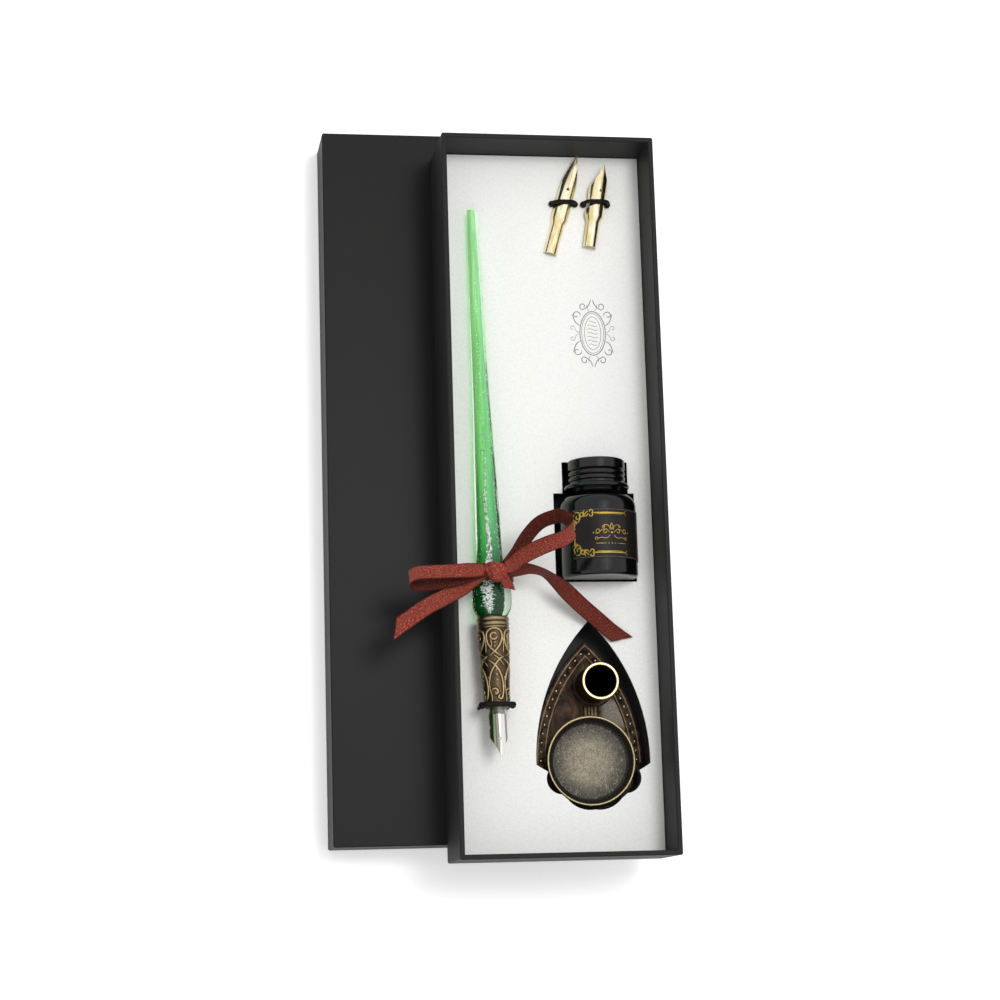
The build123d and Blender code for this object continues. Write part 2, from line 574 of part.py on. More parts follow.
LABEL_DIR = Vector(math.sin(math.radians(LABEL_FROM)), 0, math.cos(math.radians(LABEL_FROM)))
with BuildPart() as bottle_label:
    with BuildSketch(Plane(origin=(BOTTLE_X, BOTTLE_Y, BOTTLE_Z), x_dir=LABEL_DIR, z_dir=LABEL_DIR.cross(Vector(0, 1, 0)))):
        with Locations((BOTTLE_R + LABEL_FIT, LABEL_AT)):
            Rectangle(LABEL_T, LABEL_LEN, align=(Align.MIN, Align.MIN))
    revolve(axis=BOTTLE_LINE, revolution_arc=LABEL_ARC)
bottle_label.part.label = "bottle_label"

with BuildPart() as bottle_cap:
    with BuildSketch(BOTTLE_PROFILE):
        with BuildLine():
            pitch = RIDGE_BAND / CAP_RIDGES
            ridge_from = CAP_AT + 0.8
            Polyline((CAP_BORE_R, CAP_AT), (CAP_R - RIDGE_H, CAP_AT), (CAP_R - RIDGE_H, ridge_from))
            for k in range(CAP_RIDGES):
                a = ridge_from + k * pitch
                ThreePointArc((CAP_R - RIDGE_H, a), (CAP_R, a + pitch / 2), (CAP_R - RIDGE_H, a + pitch))
            Polyline((CAP_R - RIDGE_H, ridge_from + RIDGE_BAND), (CAP_R, ridge_from + RIDGE_BAND + 0.6), (CAP_R, CAP_END),
                     (0, CAP_END), (0, CAP_END - CAP_TOP), (CAP_BORE_R, CAP_END - CAP_TOP), (CAP_BORE_R, CAP_AT))
        make_face()
    revolve(axis=BOTTLE_LINE)
    fillet(bottle_cap.edges().filter_by(GeomType.CIRCLE).group_by(Axis.Y)[-1], radius=0.9)
bottle_cap.part.label = "bottle_cap"

with BuildPart() as cap_liner:
    with BuildSketch(Plane(origin=(BOTTLE_X, BOTTLE_Y + CAP_END - CAP_TOP, BOTTLE_Z), z_dir=(0, -1, 0))):
        Circle(CAP_BORE_R - 0.1)
    extrude(amount=LINER_T)
cap_liner.part.label = "cap_liner"

# ---------------------------------------------------------------------- stand
ARC_C = arc_centre((PLATE_HALF, PLATE_SHOULDER), (0, PLATE_TIP), PLATE_ARC)
TUBE_CX = STAND_X + TUBE_X
TUBE_CY = STAND_Y + TUBE_Y


def side_band(r_out, r_in, low):
    """Both long-side bands between two radii, cut at the centre line and at low."""
    with BuildSketch(Plane.XY) as band:
        with Locations(ARC_C):
            Circle(r_out)
            Circle(r_in, mode=Mode.SUBTRACT)
        with Locations((0, low)):
            Rectangle(2 * PLATE_HALF, PLATE_TIP * 2, align=(Align.MIN, Align.MIN), mode=Mode.INTERSECT)
        mirror(about=Plane.YZ)
    return band.sketch


with BuildPart() as stand_plate:
    with BuildSketch(Plane.XY.offset(PLATE_Z)):
        with Locations((STAND_X, STAND_Y)):
            add(plate_outline)
    extrude(amount=PLATE_T)
    with BuildSketch(Plane.XY.offset(PLATE_TOP)):
        with Locations((STAND_X, STAND_Y)):
            add(side_band(PLATE_ARC - RIDGE_OUT, PLATE_ARC - RIDGE_OUT - RIDGE_W, PLATE_SHOULDER + 0.6))
            add(side_band(PLATE_ARC - RIDGE_IN, PLATE_ARC - RIDGE_IN - RIDGE_W, PLATE_SHOULDER + 0.6))
    extrude(amount=RIDGE_T)
    with BuildSketch(Plane.XY.offset(PLATE_TOP)):
        with Locations((STAND_X + TUBE_X / 2, (TUBE_CY - FLANGE_R + STAND_Y + DISH_R) / 2 - 0.2)):
            with GridLocations(RIB_W * 1.7, 1, RIB_COUNT, 1):
                RectangleRounded(RIB_W, RIB_LEN, RIB_W * 0.45)
    extrude(amount=RIB_T)
    with BuildSketch(Plane.XY.offset(PLATE_TOP)):
        with Locations((TUBE_CX, TUBE_CY)):
            Circle(FLANGE_R + 0.05)
        with Locations((STAND_X, STAND_Y)):
            Circle(DISH_FOOT_R + 0.05)
    extrude(amount=RIB_T + RIDGE_T, mode=Mode.SUBTRACT)
stand_plate.part.label = "stand_plate"

INLAY_R = PLATE_ARC - RIDGE_IN - RIDGE_W - 0.6
with BuildPart() as stand_inlay:
    with BuildSketch(Plane.XY.offset(PLATE_TOP)):
        with Locations((STAND_X + ARC_C[0], STAND_Y + ARC_C[1])):
            Circle(INLAY_R)
        with Locations((STAND_X - ARC_C[0], STAND_Y + ARC_C[1])):
            Circle(INLAY_R, mode=Mode.INTERSECT)
        with Locations((STAND_X, STAND_Y + 6.0)):
            Rectangle(2 * PLATE_HALF, PLATE_TIP, align=(Align.CENTER, Align.MIN), mode=Mode.INTERSECT)
        with Locations((TUBE_CX, TUBE_CY)):
            Circle(FLANGE_R + 0.6, mode=Mode.SUBTRACT)
        with Locations((STAND_X, STAND_Y)):
            Circle(DISH_FOOT_R + 0.6, mode=Mode.SUBTRACT)
        with Locations((STAND_X + TUBE_X / 2, (TUBE_CY - FLANGE_R + STAND_Y + DISH_R) / 2 - 0.2)):
            Rectangle(RIB_W * 1.7 * RIB_COUNT + 0.6, RIB_LEN + 6.0, mode=Mode.SUBTRACT)
    extrude(amount=INLAY_T)
stand_inlay.part.label = "stand_inlay"

STUD_ARC = PLATE_ARC - STUD_IN
STUD_LOW = math.asin((PLATE_SHOULDER + 1.6 - ARC_C[1]) / STUD_ARC)
STUD_HIGH = math.acos(-ARC_C[0] / STUD_ARC)
STUD_PLACES = []
for k in range(STUDS):
    a = STUD_LOW + (STUD_HIGH - STUD_LOW) * k / (STUDS - 0.35)
    dx, dy = ARC_C[0] + STUD_ARC * math.cos(a), ARC_C[1] + STUD_ARC * math.sin(a)
    if math.hypot(dx - TUBE_X, dy - TUBE_Y) > FLANGE_R + STUD_R + 0.2:
        STUD_PLACES.append((STAND_X + dx, STAND_Y + dy))
    if math.hypot(-dx - TUBE_X, dy - TUBE_Y) > FLANGE_R + STUD_R + 0.2:
        STUD_PLACES.append((STAND_X - dx, STAND_Y + dy))
with BuildPart() as stand_studs:
    with Locations(*[(x, y, PLATE_TOP) for x, y in STUD_PLACES]):
        Sphere(STUD_R, arc_size1=0, align=(Align.CENTER, Align.CENTER, Align.MIN))
stand_studs.part.label = "stand_studs"

with BuildPart() as stand_tube:
    with BuildSketch(Plane.XY.offset(PLATE_TOP)):
        with Locations((TUBE_CX, TUBE_CY)):
            Circle(FLANGE_R)
    extrude(amount=FLANGE_T)
    with BuildSketch(Plane.XY.offset(PLATE_TOP)):
        with Locations((TUBE_CX, TUBE_CY)):
            Circle(TUBE_R - 0.25)
    extrude(amount=TUBE_H)
    with BuildSketch(Plane.XY.offset(PLATE_TOP + TUBE_H - TUBE_LIP)):
        with Locations((TUBE_CX, TUBE_CY)):
            Circle(TUBE_R)
    extrude(amount=TUBE_LIP)
    with BuildSketch(Plane.XY.offset(PLATE_TOP + TUBE_H)):
        with Locations((TUBE_CX, TUBE_CY)):
            Circle(TUBE_R - TUBE_WALL)
    extrude(amount=-(TUBE_H - 1.5), mode=Mode.SUBTRACT)
    fillet(stand_tube.edges().filter_by(GeomType.CIRCLE).group_by(Axis.Z)[-1], radius=0.3)
stand_tube.part.label = "stand_tube"

DISH_LINE = Axis((STAND_X, STAND_Y, PLATE_TOP), (0, 0, 1))
with BuildPart() as stand_dish:
    with BuildSketch(Plane(origin=(STAND_X, STAND_Y, PLATE_TOP), x_dir=(1, 0, 0), z_dir=(0, -1, 0))):
        with BuildLine():
            Polyline((0, 0), (DISH_FOOT_R, 0), (DISH_R, DISH_H - 0.5))
            ThreePointArc((DISH_R, DISH_H - 0.5), (DISH_R - DISH_WALL / 2, DISH_H), (DISH_R - DISH_WALL, DISH_H - 0.5))
            Polyline((DISH_R - DISH_WALL, DISH_H - 0.5), (DISH_FOOT_R - DISH_WALL - 0.2, DISH_FLOOR + 0.8),
                     (DISH_FOOT_R - DISH_WALL - 1.0, DISH_FLOOR), (0, DISH_FLOOR), (0, 0))
        make_face()
    revolve(axis=DISH_LINE)
stand_dish.part.label = "stand_dish"

# --------------------------------------------------------------------- ribbon
with BuildPart() as ribbon_band:
    with BuildSketch(Plane(origin=(BAND_C.X, BAND_C.Y - RIBBON_W / 2, 0), x_dir=(1, 0, 0), z_dir=(0, -1, 0))):
        with Locations((0, (BAND_TOP + RIBBON_T + BAND_BOTTOM) / 2)):
            RectangleRounded(2 * (BAND_HALF + RIBBON_T), BAND_TOP + RIBBON_T - BAND_BOTTOM, BAND_CORNER + RIBBON_T)
            RectangleRounded(2 * BAND_HALF, BAND_TOP - RIBBON_T - BAND_BOTTOM, BAND_CORNER, mode=Mode.SUBTRACT)
    extrude(amount=-RIBBON_W)
ribbon_band.part.label = "ribbon_band"

KX, KY = BAND_C.X, BAND_C.Y
KNOT_MID = KNOT_Z + KNOT_H / 2
with BuildPart() as ribbon_knot:
    with BuildSketch(Plane.XY.offset(KNOT_Z)):
        with Locations((KX, KY)):
            Rectangle(KNOT_L, KNOT_W)
    extrude(amount=KNOT_H)
    fillet(ribbon_knot.edges().group_by(Axis.Z)[-1], radius=KNOT_EDGE)
ribbon_knot.part.label = "ribbon_knot"


def strap(stations):
    """Flat ribbon through (x, y, z, width direction) stations, ends square to X."""
    points = [Vector(*p[:3]) for p in stations]
    last = len(points) - 1
    planes = []
    for k, station in enumerate(stations):
        along = (points[min(k + 1, last)] - points[max(k - 1, 0)]).normalized()
        if k in (0, last):
            along = Vector(math.copysign(1, along.X), 0, 0)
        across = Vector(*station[3:])
        across = (across - along * across.dot(along)).normalized()
        planes.append(Plane(origin=points[k], x_dir=across, z_dir=along))
    with BuildPart() as ribbon:
        for here, there in zip(planes, planes[1:]):
            with BuildSketch(here, there):
                Rectangle(RIBBON_W, RIBBON_T)
            loft(ruled=True)
    return ribbon


SIDE_L = KX - KNOT_L / 2
SIDE_R = KX + KNOT_L / 2
OVER_RIM = RIM_Z + 2.6      # ribbon over the left rim
ribbon_loop_left = strap([
    (SIDE_L, KY, KNOT_MID + 1.1, 0, 1, 0),
    (SIDE_L - 3.4, KY - 0.5, KNOT_MID + 2.9, 0, 0.96, -0.28),
    (SIDE_L - 9.2, KY - 1.4, OVER_RIM + 3.6, 0, 0.90, -0.43),
    (SIDE_L - 18.6, KY - 1.9, OVER_RIM + 5.6, 0, 0.88, -0.47),
    (SIDE_L - 25.6, KY - 2.2, OVER_RIM + 6.0, 0, 0.88, -0.47),
    (SIDE_L - 28.6, KY - 3.0, OVER_RIM + 4.8, 0, 0.88, -0.47),
    (SIDE_L - 29.6, KY - 4.4, OVER_RIM + 2.6, 0, 0.88, -0.47),
    (SIDE_L - 28.0, KY - 5.6, OVER_RIM + 0.6, 0, 0.88, -0.47),
    (SIDE_L - 24.0, KY - 6.0, OVER_RIM - 0.2, 0, 0.88, -0.47),
    (SIDE_L - 17.9, KY - 5.2, OVER_RIM - 0.3, 0, 0.90, -0.43),
    (SIDE_L - 10.1, KY - 3.4, OVER_RIM - 0.5, 0, 0.95, -0.30),
    (SIDE_L - 4.0, KY - 1.2, KNOT_MID + 1.1, 0, 0.98, -0.16),
    (SIDE_L, KY, KNOT_MID, 0, 1, 0),
])
ribbon_loop_left.part.label = "ribbon_loop_left"

ribbon_tail_left = strap([
    (SIDE_L, KY, KNOT_MID - 1.1, 0, 1, 0),
    (SIDE_L - 4.0, KY - 3.4, KNOT_MID - 1.0, -0.25, 0.97, -0.1),
    (SIDE_L - 9.0, KY - 7.6, OVER_RIM - 1.6, -0.45, 0.88, -0.1),
    (SIDE_L - 16.0, KY - 11.2, OVER_RIM - 0.5, -0.48, 0.87, -0.05),
    (SIDE_L - 23.2, KY - 15.0, OVER_RIM - 0.4, -0.48, 0.87, 0.0),
    (SIDE_L - 34.6, KY - 22.3, OVER_RIM - 1.1, -0.50, 0.86, 0.0),
])
ribbon_tail_left.part.label = "ribbon_tail_left"

LOOP_TIP = BOTTLE_X - BOTTLE_R - 1.1    # the loop stays left of the bottle's lift
ribbon_loop_right = strap([
    (SIDE_R, KY + 0.8, KNOT_MID, 0, 1, 0),
    (SIDE_R + 3.4, KY + 6.2, KNOT_MID + 1.6, -0.75, 0.55, 0.35),
    (SIDE_R + 7.6, KY + 13.0, KNOT_MID + 4.0, -0.70, 0.50, 0.55),
    (SIDE_R + 12.4, KY + 17.8, KNOT_MID + 6.6, -0.55, 0.60, 0.60),
    (SIDE_R + 18.2, KY + 19.6, KNOT_MID + 9.8, -0.35, 0.75, 0.58),
    (LOOP_TIP - 2.6, KY + 18.4, KNOT_MID + 13.2, -0.20, 0.85, 0.48),
    (LOOP_TIP - 0.1, KY + 15.6, KNOT_MID + 16.0, -0.15, 0.88, 0.45),
    (LOOP_TIP - 0.8, KY + 12.4, KNOT_MID + 17.8, -0.18, 0.88, 0.44),
    (LOOP_TIP - 4.0, KY + 9.6, KNOT_MID + 17.6, -0.25, 0.86, 0.44),
    (LOOP_TIP - 8.6, KY + 8.2, KNOT_MID + 15.6, -0.30, 0.86, 0.42),
    (LOOP_TIP - 14.0, KY + 6.4, KNOT_MID + 11.2, -0.30, 0.88, 0.36),
    (LOOP_TIP - 18.6, KY + 4.4, KNOT_MID + 6.2, -0.20, 0.93, 0.25),
    (SIDE_R + 1.4, KY + 1.8, KNOT_MID + 2.2, -0.05, 0.99, 0.1),
    (SIDE_R, KY + 1.0, KNOT_MID + 1.4, 0, 1, 0),
])
ribbon_loop_right.part.label = "ribbon_loop_right"

END_Z = CARD_Z + 0.6
ribbon_tail_right = strap([
    (SIDE_R, KY, KNOT_MID - 1.4, 0, 1, 0),
    (SIDE_R + 4.0, KY + 0.7, KNOT_MID - 1.5, 0.0, 0.85, 0.52),
    (SIDE_R + 9.6, KY + 0.6, KNOT_MID - 1.7, 0.1, 0.42, 0.90),
    (SIDE_R + 15.4, KY - 0.9, KNOT_MID - 2.8, 0.15, 0.24, 0.96),
    (SIDE_R + 20.6, KY - 4.2, KNOT_MID - 4.8, 0.28, 0.50, 0.82),
    (SIDE_R + 26.0, KY - 8.4, END_Z + 10.4, 0.50, 0.76, 0.42),
    (SIDE_R + 31.4, KY - 12.6, END_Z + 7.2, 0.62, 0.78, 0.15),
    (SIDE_R + 38.4, KY - 17.6, END_Z + 3.4, 0.66, 0.75, 0.05),
    (SIDE_R + 43.6, KY - 21.6, END_Z + 1.2, 0.70, 0.71, 0.0),
    (SIDE_R + 47.4, KY - 24.4, END_Z + 0.3, 0.70, 0.71, 0.0),
])
ribbon_tail_right.part.label = "ribbon_tail_right"

# --------------------------------------------------------------------- export
for piece in (lid_shell, base_shell, insert_card, insert_foam, ribbon_band, ribbon_knot, ribbon_loop_left,
              ribbon_loop_right, ribbon_tail_left, ribbon_tail_right, pen_elastic, nib_elastic_long,
              nib_elastic_short, pen_glass, pen_core, pen_foil, pen_collars, pen_ferrule, nib_holder, pen_nib,
              bottle_glass, ink, bottle_label, bottle_cap, cap_liner, stand_plate, stand_inlay, stand_studs,
              stand_tube, stand_dish, spare_nib_long, spare_nib_short):
    export_step(piece.part, "parts/" + piece.part.label + ".step")
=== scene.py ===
"""Looks of a calligraphy set: box, lid, card tray, glass pen, bow, ink bottle, cast stand and spare nibs.

Every size is in millimetres where a name or a table says so, and is turned into metres with MM.
"""

from __future__ import annotations

import logging
import math
import random
from dataclasses import dataclass, field
from enum import Enum
from typing import Callable, Iterable, Mapping, Sequence

import bmesh
import bpy
from mathutils import Matrix, Vector, noise

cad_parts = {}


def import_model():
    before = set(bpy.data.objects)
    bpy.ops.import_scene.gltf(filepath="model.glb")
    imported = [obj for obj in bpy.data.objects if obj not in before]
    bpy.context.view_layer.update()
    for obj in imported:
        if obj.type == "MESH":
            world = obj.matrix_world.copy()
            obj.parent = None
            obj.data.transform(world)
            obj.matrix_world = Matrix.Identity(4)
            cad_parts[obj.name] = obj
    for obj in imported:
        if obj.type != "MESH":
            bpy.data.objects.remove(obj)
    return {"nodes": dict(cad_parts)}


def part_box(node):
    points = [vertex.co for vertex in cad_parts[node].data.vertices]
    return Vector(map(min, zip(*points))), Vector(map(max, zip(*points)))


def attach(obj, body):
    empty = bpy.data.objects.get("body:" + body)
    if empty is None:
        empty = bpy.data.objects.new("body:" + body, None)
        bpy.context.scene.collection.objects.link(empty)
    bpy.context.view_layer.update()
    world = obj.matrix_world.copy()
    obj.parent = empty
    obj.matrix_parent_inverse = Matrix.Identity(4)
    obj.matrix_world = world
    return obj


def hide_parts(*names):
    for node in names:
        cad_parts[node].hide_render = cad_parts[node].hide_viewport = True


LOG = logging.getLogger("calligraphy_set")
MM = 0.001
RIBBON_WIDTH = 6.5 * MM
PEN_SLANT = 0.0173
Station = tuple[float, float, float, float, float, float]
Run = list[tuple[float, float]]
NODES: dict[str, bpy.types.Object] = {}


class Body(Enum):
    """Moving bodies that new pieces ride on."""

    INSERT = "insert"
    PEN = "pen"
    BOTTLE = "bottle"


class Slot(Enum):
    """Material slots of the record, passed with each new piece but not read."""

    RIBBON = "satin_ribbon"
    CLEAR = "pen_clear"
    GREEN = "pen_green"
    FOIL = "foil"
    BRONZE = "bronze"
    LABEL = "label"
    GOLD = "nib_gold"
    CARD = "card_white"
    ELASTIC = "elastic"


def linear(code: str) -> tuple[float, float, float, float]:
    """Turns a six-digit hex colour into a linear RGBA colour.

    Args:
        code: Hex digits such as "7a2f26".

    Returns:
        The linear colour with an alpha of one.
    """
    parts = [int(code[k:k + 2], 16) / 255 for k in (0, 2, 4)]
    done = [c / 12.92 if c <= 0.04045 else ((c + 0.055) / 1.055) ** 2.4 for c in parts]
    return (done[0], done[1], done[2], 1.0)


# ---------------------------------------------------------------- shader trees
class Tree:
    """Writes nodes and links into one shader tree."""

    def __init__(self, tree: bpy.types.NodeTree) -> None:
        """Keeps the tree that is written to."""
        self.tree = tree

    def feed(self, socket: bpy.types.NodeSocket, value: object) -> None:
        """Links a socket or a node into a socket, or writes a plain value there.

        Args:
            socket: The socket that receives.
            value: Another socket, a node (its first output is used), or a value.
        """
        if isinstance(value, bpy.types.Node):
            value = value.outputs[0]
        if isinstance(value, bpy.types.NodeSocket):
            self.tree.links.new(value, socket)
        else:
            socket.default_value = value

    def node(self, kind: str, inputs: Mapping[object, object] | None = None,
             **settings: object) -> bpy.types.Node:
        """Adds a node.

        Args:
            kind: Node type without its ShaderNode prefix.
            inputs: What feeds its sockets, by name or number.
            **settings: Properties of the node.

        Returns:
            The new node.
        """
        made = self.tree.nodes.new("ShaderNode" + kind)
        for name, value in settings.items():
            setattr(made, name, value)
        for name, value in (inputs or {}).items():
            self.feed(made.inputs[name], value)
        return made

    def maths(self, operation: str, a: object, b: object = 0.0, c: object = 0.0,
              clamp: bool = False) -> bpy.types.NodeSocket:
        """Adds a maths node and returns its result."""
        return self.node("Math", {0: a, 1: b, 2: c}, operation=operation, use_clamp=clamp).outputs[0]

    def mix(self, factor: object, a: object, b: object, blend: str = "MIX") -> bpy.types.NodeSocket:
        """Mixes two colours and returns the result."""
        return self.node("Mix", {0: factor, 6: a, 7: b}, data_type="RGBA", blend_type=blend).outputs[2]

    def span(self, value: object, low: float, high: float, to_low: float = 0.0, to_high: float = 1.0,
             smooth: bool = False) -> bpy.types.NodeSocket:
        """Maps a value from one range to another, held at the ends.

        Args:
            value: What is mapped.
            low: Start of the range it is read over.
            high: End of that range.
            to_low: Result at the start.
            to_high: Result at the end.
            smooth: Whether the change eases in and out.

        Returns:
            The mapped value's socket.
        """
        kind = "SMOOTHSTEP" if smooth else "LINEAR"
        made = self.node("MapRange", {0: value, 1: low, 2: high, 3: to_low, 4: to_high},
                         interpolation_type=kind)
        return made.outputs[0]

    def noise(self, where: object, scale: object, detail: float = 4.0, rough: float = 0.55,
              distortion: float = 0.0) -> bpy.types.NodeSocket:
        """Adds a noise texture and returns its value."""
        return self.node("TexNoise", {"Vector": where, "Scale": scale, "Detail": detail, "Roughness": rough,
                                      "Distortion": distortion}).outputs[0]

    def stretch(self, where: object, scale: Sequence[float], turn: Sequence[float] = (0, 0, 0),
                move: Sequence[float] = (0, 0, 0)) -> bpy.types.NodeSocket:
        """Scales, turns and moves a coordinate."""
        return self.node("Mapping", {"Vector": where, "Scale": tuple(scale), "Rotation": tuple(turn),
                                     "Location": tuple(move)}).outputs[0]


@dataclass(frozen=True)
class Port:
    """One socket of a shader group."""

    name: str
    kind: str = "Float"
    value: object = 0.0


class ShaderGroup(Tree):
    """A shader node group with named inputs and outputs."""

    label: str = "group"
    takes: tuple[Port, ...] = ()
    gives: tuple[Port, ...] = ()

    def __init__(self) -> None:
        """Makes the tree and its sockets and writes the nodes."""
        super().__init__(bpy.data.node_groups.new(self.label, "ShaderNodeTree"))
        for port in self.takes:
            socket = self._socket(port, "INPUT")
            if port.kind != "Vector":
                socket.default_value = port.value
        for port in self.gives:
            self._socket(port, "OUTPUT")
        self.enter = self.tree.nodes.new("NodeGroupInput").outputs
        self.leave = self.tree.nodes.new("NodeGroupOutput").inputs
        self.write()

    def _socket(self, port: Port, way: str) -> bpy.types.NodeTreeInterfaceSocket:
        """Makes one socket of the group."""
        return self.tree.interface.new_socket(port.name, in_out=way, socket_type="NodeSocket" + port.kind)

    def write(self) -> None:
        """Writes the group's nodes."""
        raise NotImplementedError


class PaperGrain(ShaderGroup):
    """Fibres, small clouds of tone and the tooth of paper or board."""

    label = "paper_grain"
    takes = (Port("Vector", "Vector"), Port("Base", "Color", (0.5, 0.5, 0.5, 1)),
             Port("Tone", "Color", (0.6, 0.6, 0.6, 1)),
             Port("Scale", "Float", 900.0), Port("Cloud", "Float", 30.0))
    gives = (Port("Color", "Color"), Port("Height"), Port("Roughness"))

    def write(self) -> None:
        """Writes fibres over fine noise over slow clouds."""
        place = self.enter["Vector"]
        tooth = self.noise(place, self.enter["Scale"], 5.0, 0.7)
        wide, coarser = self.stretch(place, (1.0, 5.0, 1.0), (0, 0, 0.6)), self.maths("MULTIPLY",
                self.enter["Scale"], 0.35)
        fibre = self.node("TexNoise", {"Vector": wide, "Scale": coarser, "Detail": 3.0,
                                       "Distortion": 1.4}).outputs[0]
        cloud = self.noise(place, self.enter["Cloud"], 3.0, 0.5)
        amount = self.maths("MULTIPLY_ADD", cloud, 0.55, self.maths("MULTIPLY", fibre, 0.45))
        self.feed(self.leave["Color"], self.mix(self.span(amount, 0.3, 0.7), self.enter["Base"],
                                                self.enter["Tone"]))
        self.feed(self.leave["Height"],
                  self.maths("MULTIPLY_ADD", tooth, 0.6, self.maths("MULTIPLY", fibre, 0.4)))
        self.feed(self.leave["Roughness"], self.span(tooth, 0.25, 0.75, 0.62, 0.86))


class CardTooth(ShaderGroup):
    """Small pebbled relief of textured card."""

    label = "card_tooth"
    takes = (Port("Vector", "Vector"), Port("Scale", "Float", 1100.0))
    gives = (Port("Height"), Port("Shade"))

    def write(self) -> None:
        """Writes rounded cells with soft valleys between them."""
        bent = self.node("TexNoise", {"Vector": self.enter["Vector"], "Scale": 160.0,
                                      "Detail": 2.0}).outputs["Color"]
        push = self.node("VectorMath", {0: bent, "Scale": 0.0006}, operation="SCALE")
        place = self.node("VectorMath", {0: self.enter["Vector"], 1: push}, operation="ADD").outputs[0]
        cells = self.node("TexVoronoi", {"Vector": place, "Scale": self.enter["Scale"]},
                          feature="SMOOTH_F1").outputs["Distance"]
        pebble = self.span(cells, 0.15, 0.75, 1.0, 0.0, True)
        self.feed(self.leave["Height"], pebble)
        # Shade is painted shade, low in the valleys between the pebbles.
        self.feed(self.leave["Shade"], pebble)


class Patina(ShaderGroup):
    """Old cast metal: dark in its hollows, rubbed bright where it stands up."""

    label = "patina"
    takes = (Port("Vector", "Vector"), Port("Bright", "Color", (0.5, 0.4, 0.2, 1)),
             Port("Dark", "Color", (0.05, 0.04, 0.02, 1)),
             Port("Rub", "Float", 0.5), Port("Scale", "Float", 250.0))
    gives = (Port("Color", "Color"), Port("Roughness"), Port("Height"))

    def write(self) -> None:
        """Writes blotches and pits that thin out with the rub."""
        blotch = self.noise(self.enter["Vector"], self.enter["Scale"], 6.0, 0.65, 0.6)
        pits = self.noise(self.enter["Vector"], self.maths("MULTIPLY", self.enter["Scale"], 6.0), 2.0, 0.5)
        bright = self.maths("ADD", self.maths("MULTIPLY_ADD", blotch, 0.9, -0.45), self.enter["Rub"],
                            clamp=True)
        self.feed(self.leave["Color"], self.mix(bright, self.enter["Dark"], self.enter["Bright"]))
        self.feed(self.leave["Roughness"],
                  self.maths("MULTIPLY_ADD", bright, -0.22, self.span(pits, 0.3, 0.7, 0.42, 0.6)))
        self.feed(self.leave["Height"],
                  self.maths("MULTIPLY_ADD", blotch, 0.6, self.maths("MULTIPLY", pits, 0.4)))


class Weave(ShaderGroup):
    """Satin weave along a ribbon, read from its own map in metres."""

    label = "satin_weave"
    takes = (Port("Vector", "Vector"), Port("Base", "Color", (0.2, 0.03, 0.02, 1)),
             Port("Light", "Color", (0.3, 0.06, 0.05, 1)),
             Port("Thread", "Float", 0.3))
    gives = (Port("Color", "Color"), Port("Height"), Port("Roughness"))

    def write(self) -> None:
        """Writes long warp floats with short weft ties."""
        parts = self.node("SeparateXYZ", {0: self.enter["Vector"]}).outputs
        pitch = self.maths("DIVIDE", 1000.0, self.enter["Thread"])
        across = self.maths("MULTIPLY", parts[0], pitch)
        along = self.maths("MULTIPLY", parts[1], pitch)
        warp = self.maths("ABSOLUTE", self.maths("SINE", self.maths("MULTIPLY", across, math.pi)))
        step = self.maths("FLOOR", across)
        tie = self.maths("FRACT", self.maths("MULTIPLY_ADD", step, 0.4, self.maths("MULTIPLY", along, 0.2)))
        tie = self.span(self.maths("ABSOLUTE", self.maths("SUBTRACT", tie, 0.5)), 0.36, 0.5, 0.0, 1.0)
        slub = self.noise(self.stretch(self.enter["Vector"], (9000.0, 300.0, 1.0)), 1.0, 3.0)
        fleck = self.noise(self.stretch(self.enter["Vector"], (3200.0, 3200.0, 1.0)), 1.0, 2.0)
        light = self.maths("MULTIPLY_ADD", slub, 0.5, self.maths("MULTIPLY", fleck, 0.5))
        tone = self.maths("SUBTRACT", self.span(light, 0.34, 0.66), self.maths("MULTIPLY", tie, 0.3),
                          clamp=True)
        self.feed(self.leave["Color"], self.mix(tone, self.enter["Base"], self.enter["Light"]))
        height = self.maths("SUBTRACT", self.maths("MULTIPLY", warp, 0.7), self.maths("MULTIPLY", tie, 0.6))
        self.feed(self.leave["Height"], height)
        self.feed(self.leave["Roughness"], self.span(light, 0.3, 0.7, 0.58, 0.44))


class Scratches(ShaderGroup):
    """Fine bright scratches in all directions."""

    label = "scratches"
    takes = (Port("Vector", "Vector"), Port("Scale", "Float", 300.0), Port("Width", "Float", 0.03))
    gives = (Port("Mask"),)

    def write(self) -> None:
        """Writes thin broken lines from the borders of warped cells."""
        total: object = 0.0
        for turn, bend in ((0.3, 1.0), (1.4, 1.7), (2.3, 2.6)):
            place = self.stretch(self.enter["Vector"], (1.0, 0.55, 1.0), (0, 0, turn), (bend, bend * 0.3, 0))
            coarser = self.maths("MULTIPLY", self.enter["Scale"], 0.6)
            warp = self.node("TexNoise", {"Vector": place, "Scale": coarser, "Detail": 2.0}).outputs["Color"]
            push = self.node("VectorMath", {0: warp, "Scale": 0.004}, operation="SCALE").outputs[0]
            place = self.node("VectorMath", {0: place, 1: push}, operation="ADD").outputs[0]
            edge = self.node("TexVoronoi", {"Vector": place, "Scale": self.enter["Scale"]},
                             feature="DISTANCE_TO_EDGE").outputs["Distance"]
            line = self.maths("LESS_THAN", edge, self.enter["Width"])
            finer = self.maths("MULTIPLY", self.enter["Scale"], 1.7)
            broken = self.span(self.noise(place, finer, 2.0), 0.5, 0.62)
            total = self.maths("MAXIMUM", total, self.maths("MULTIPLY", line, broken))
        self.feed(self.leave["Mask"], total)


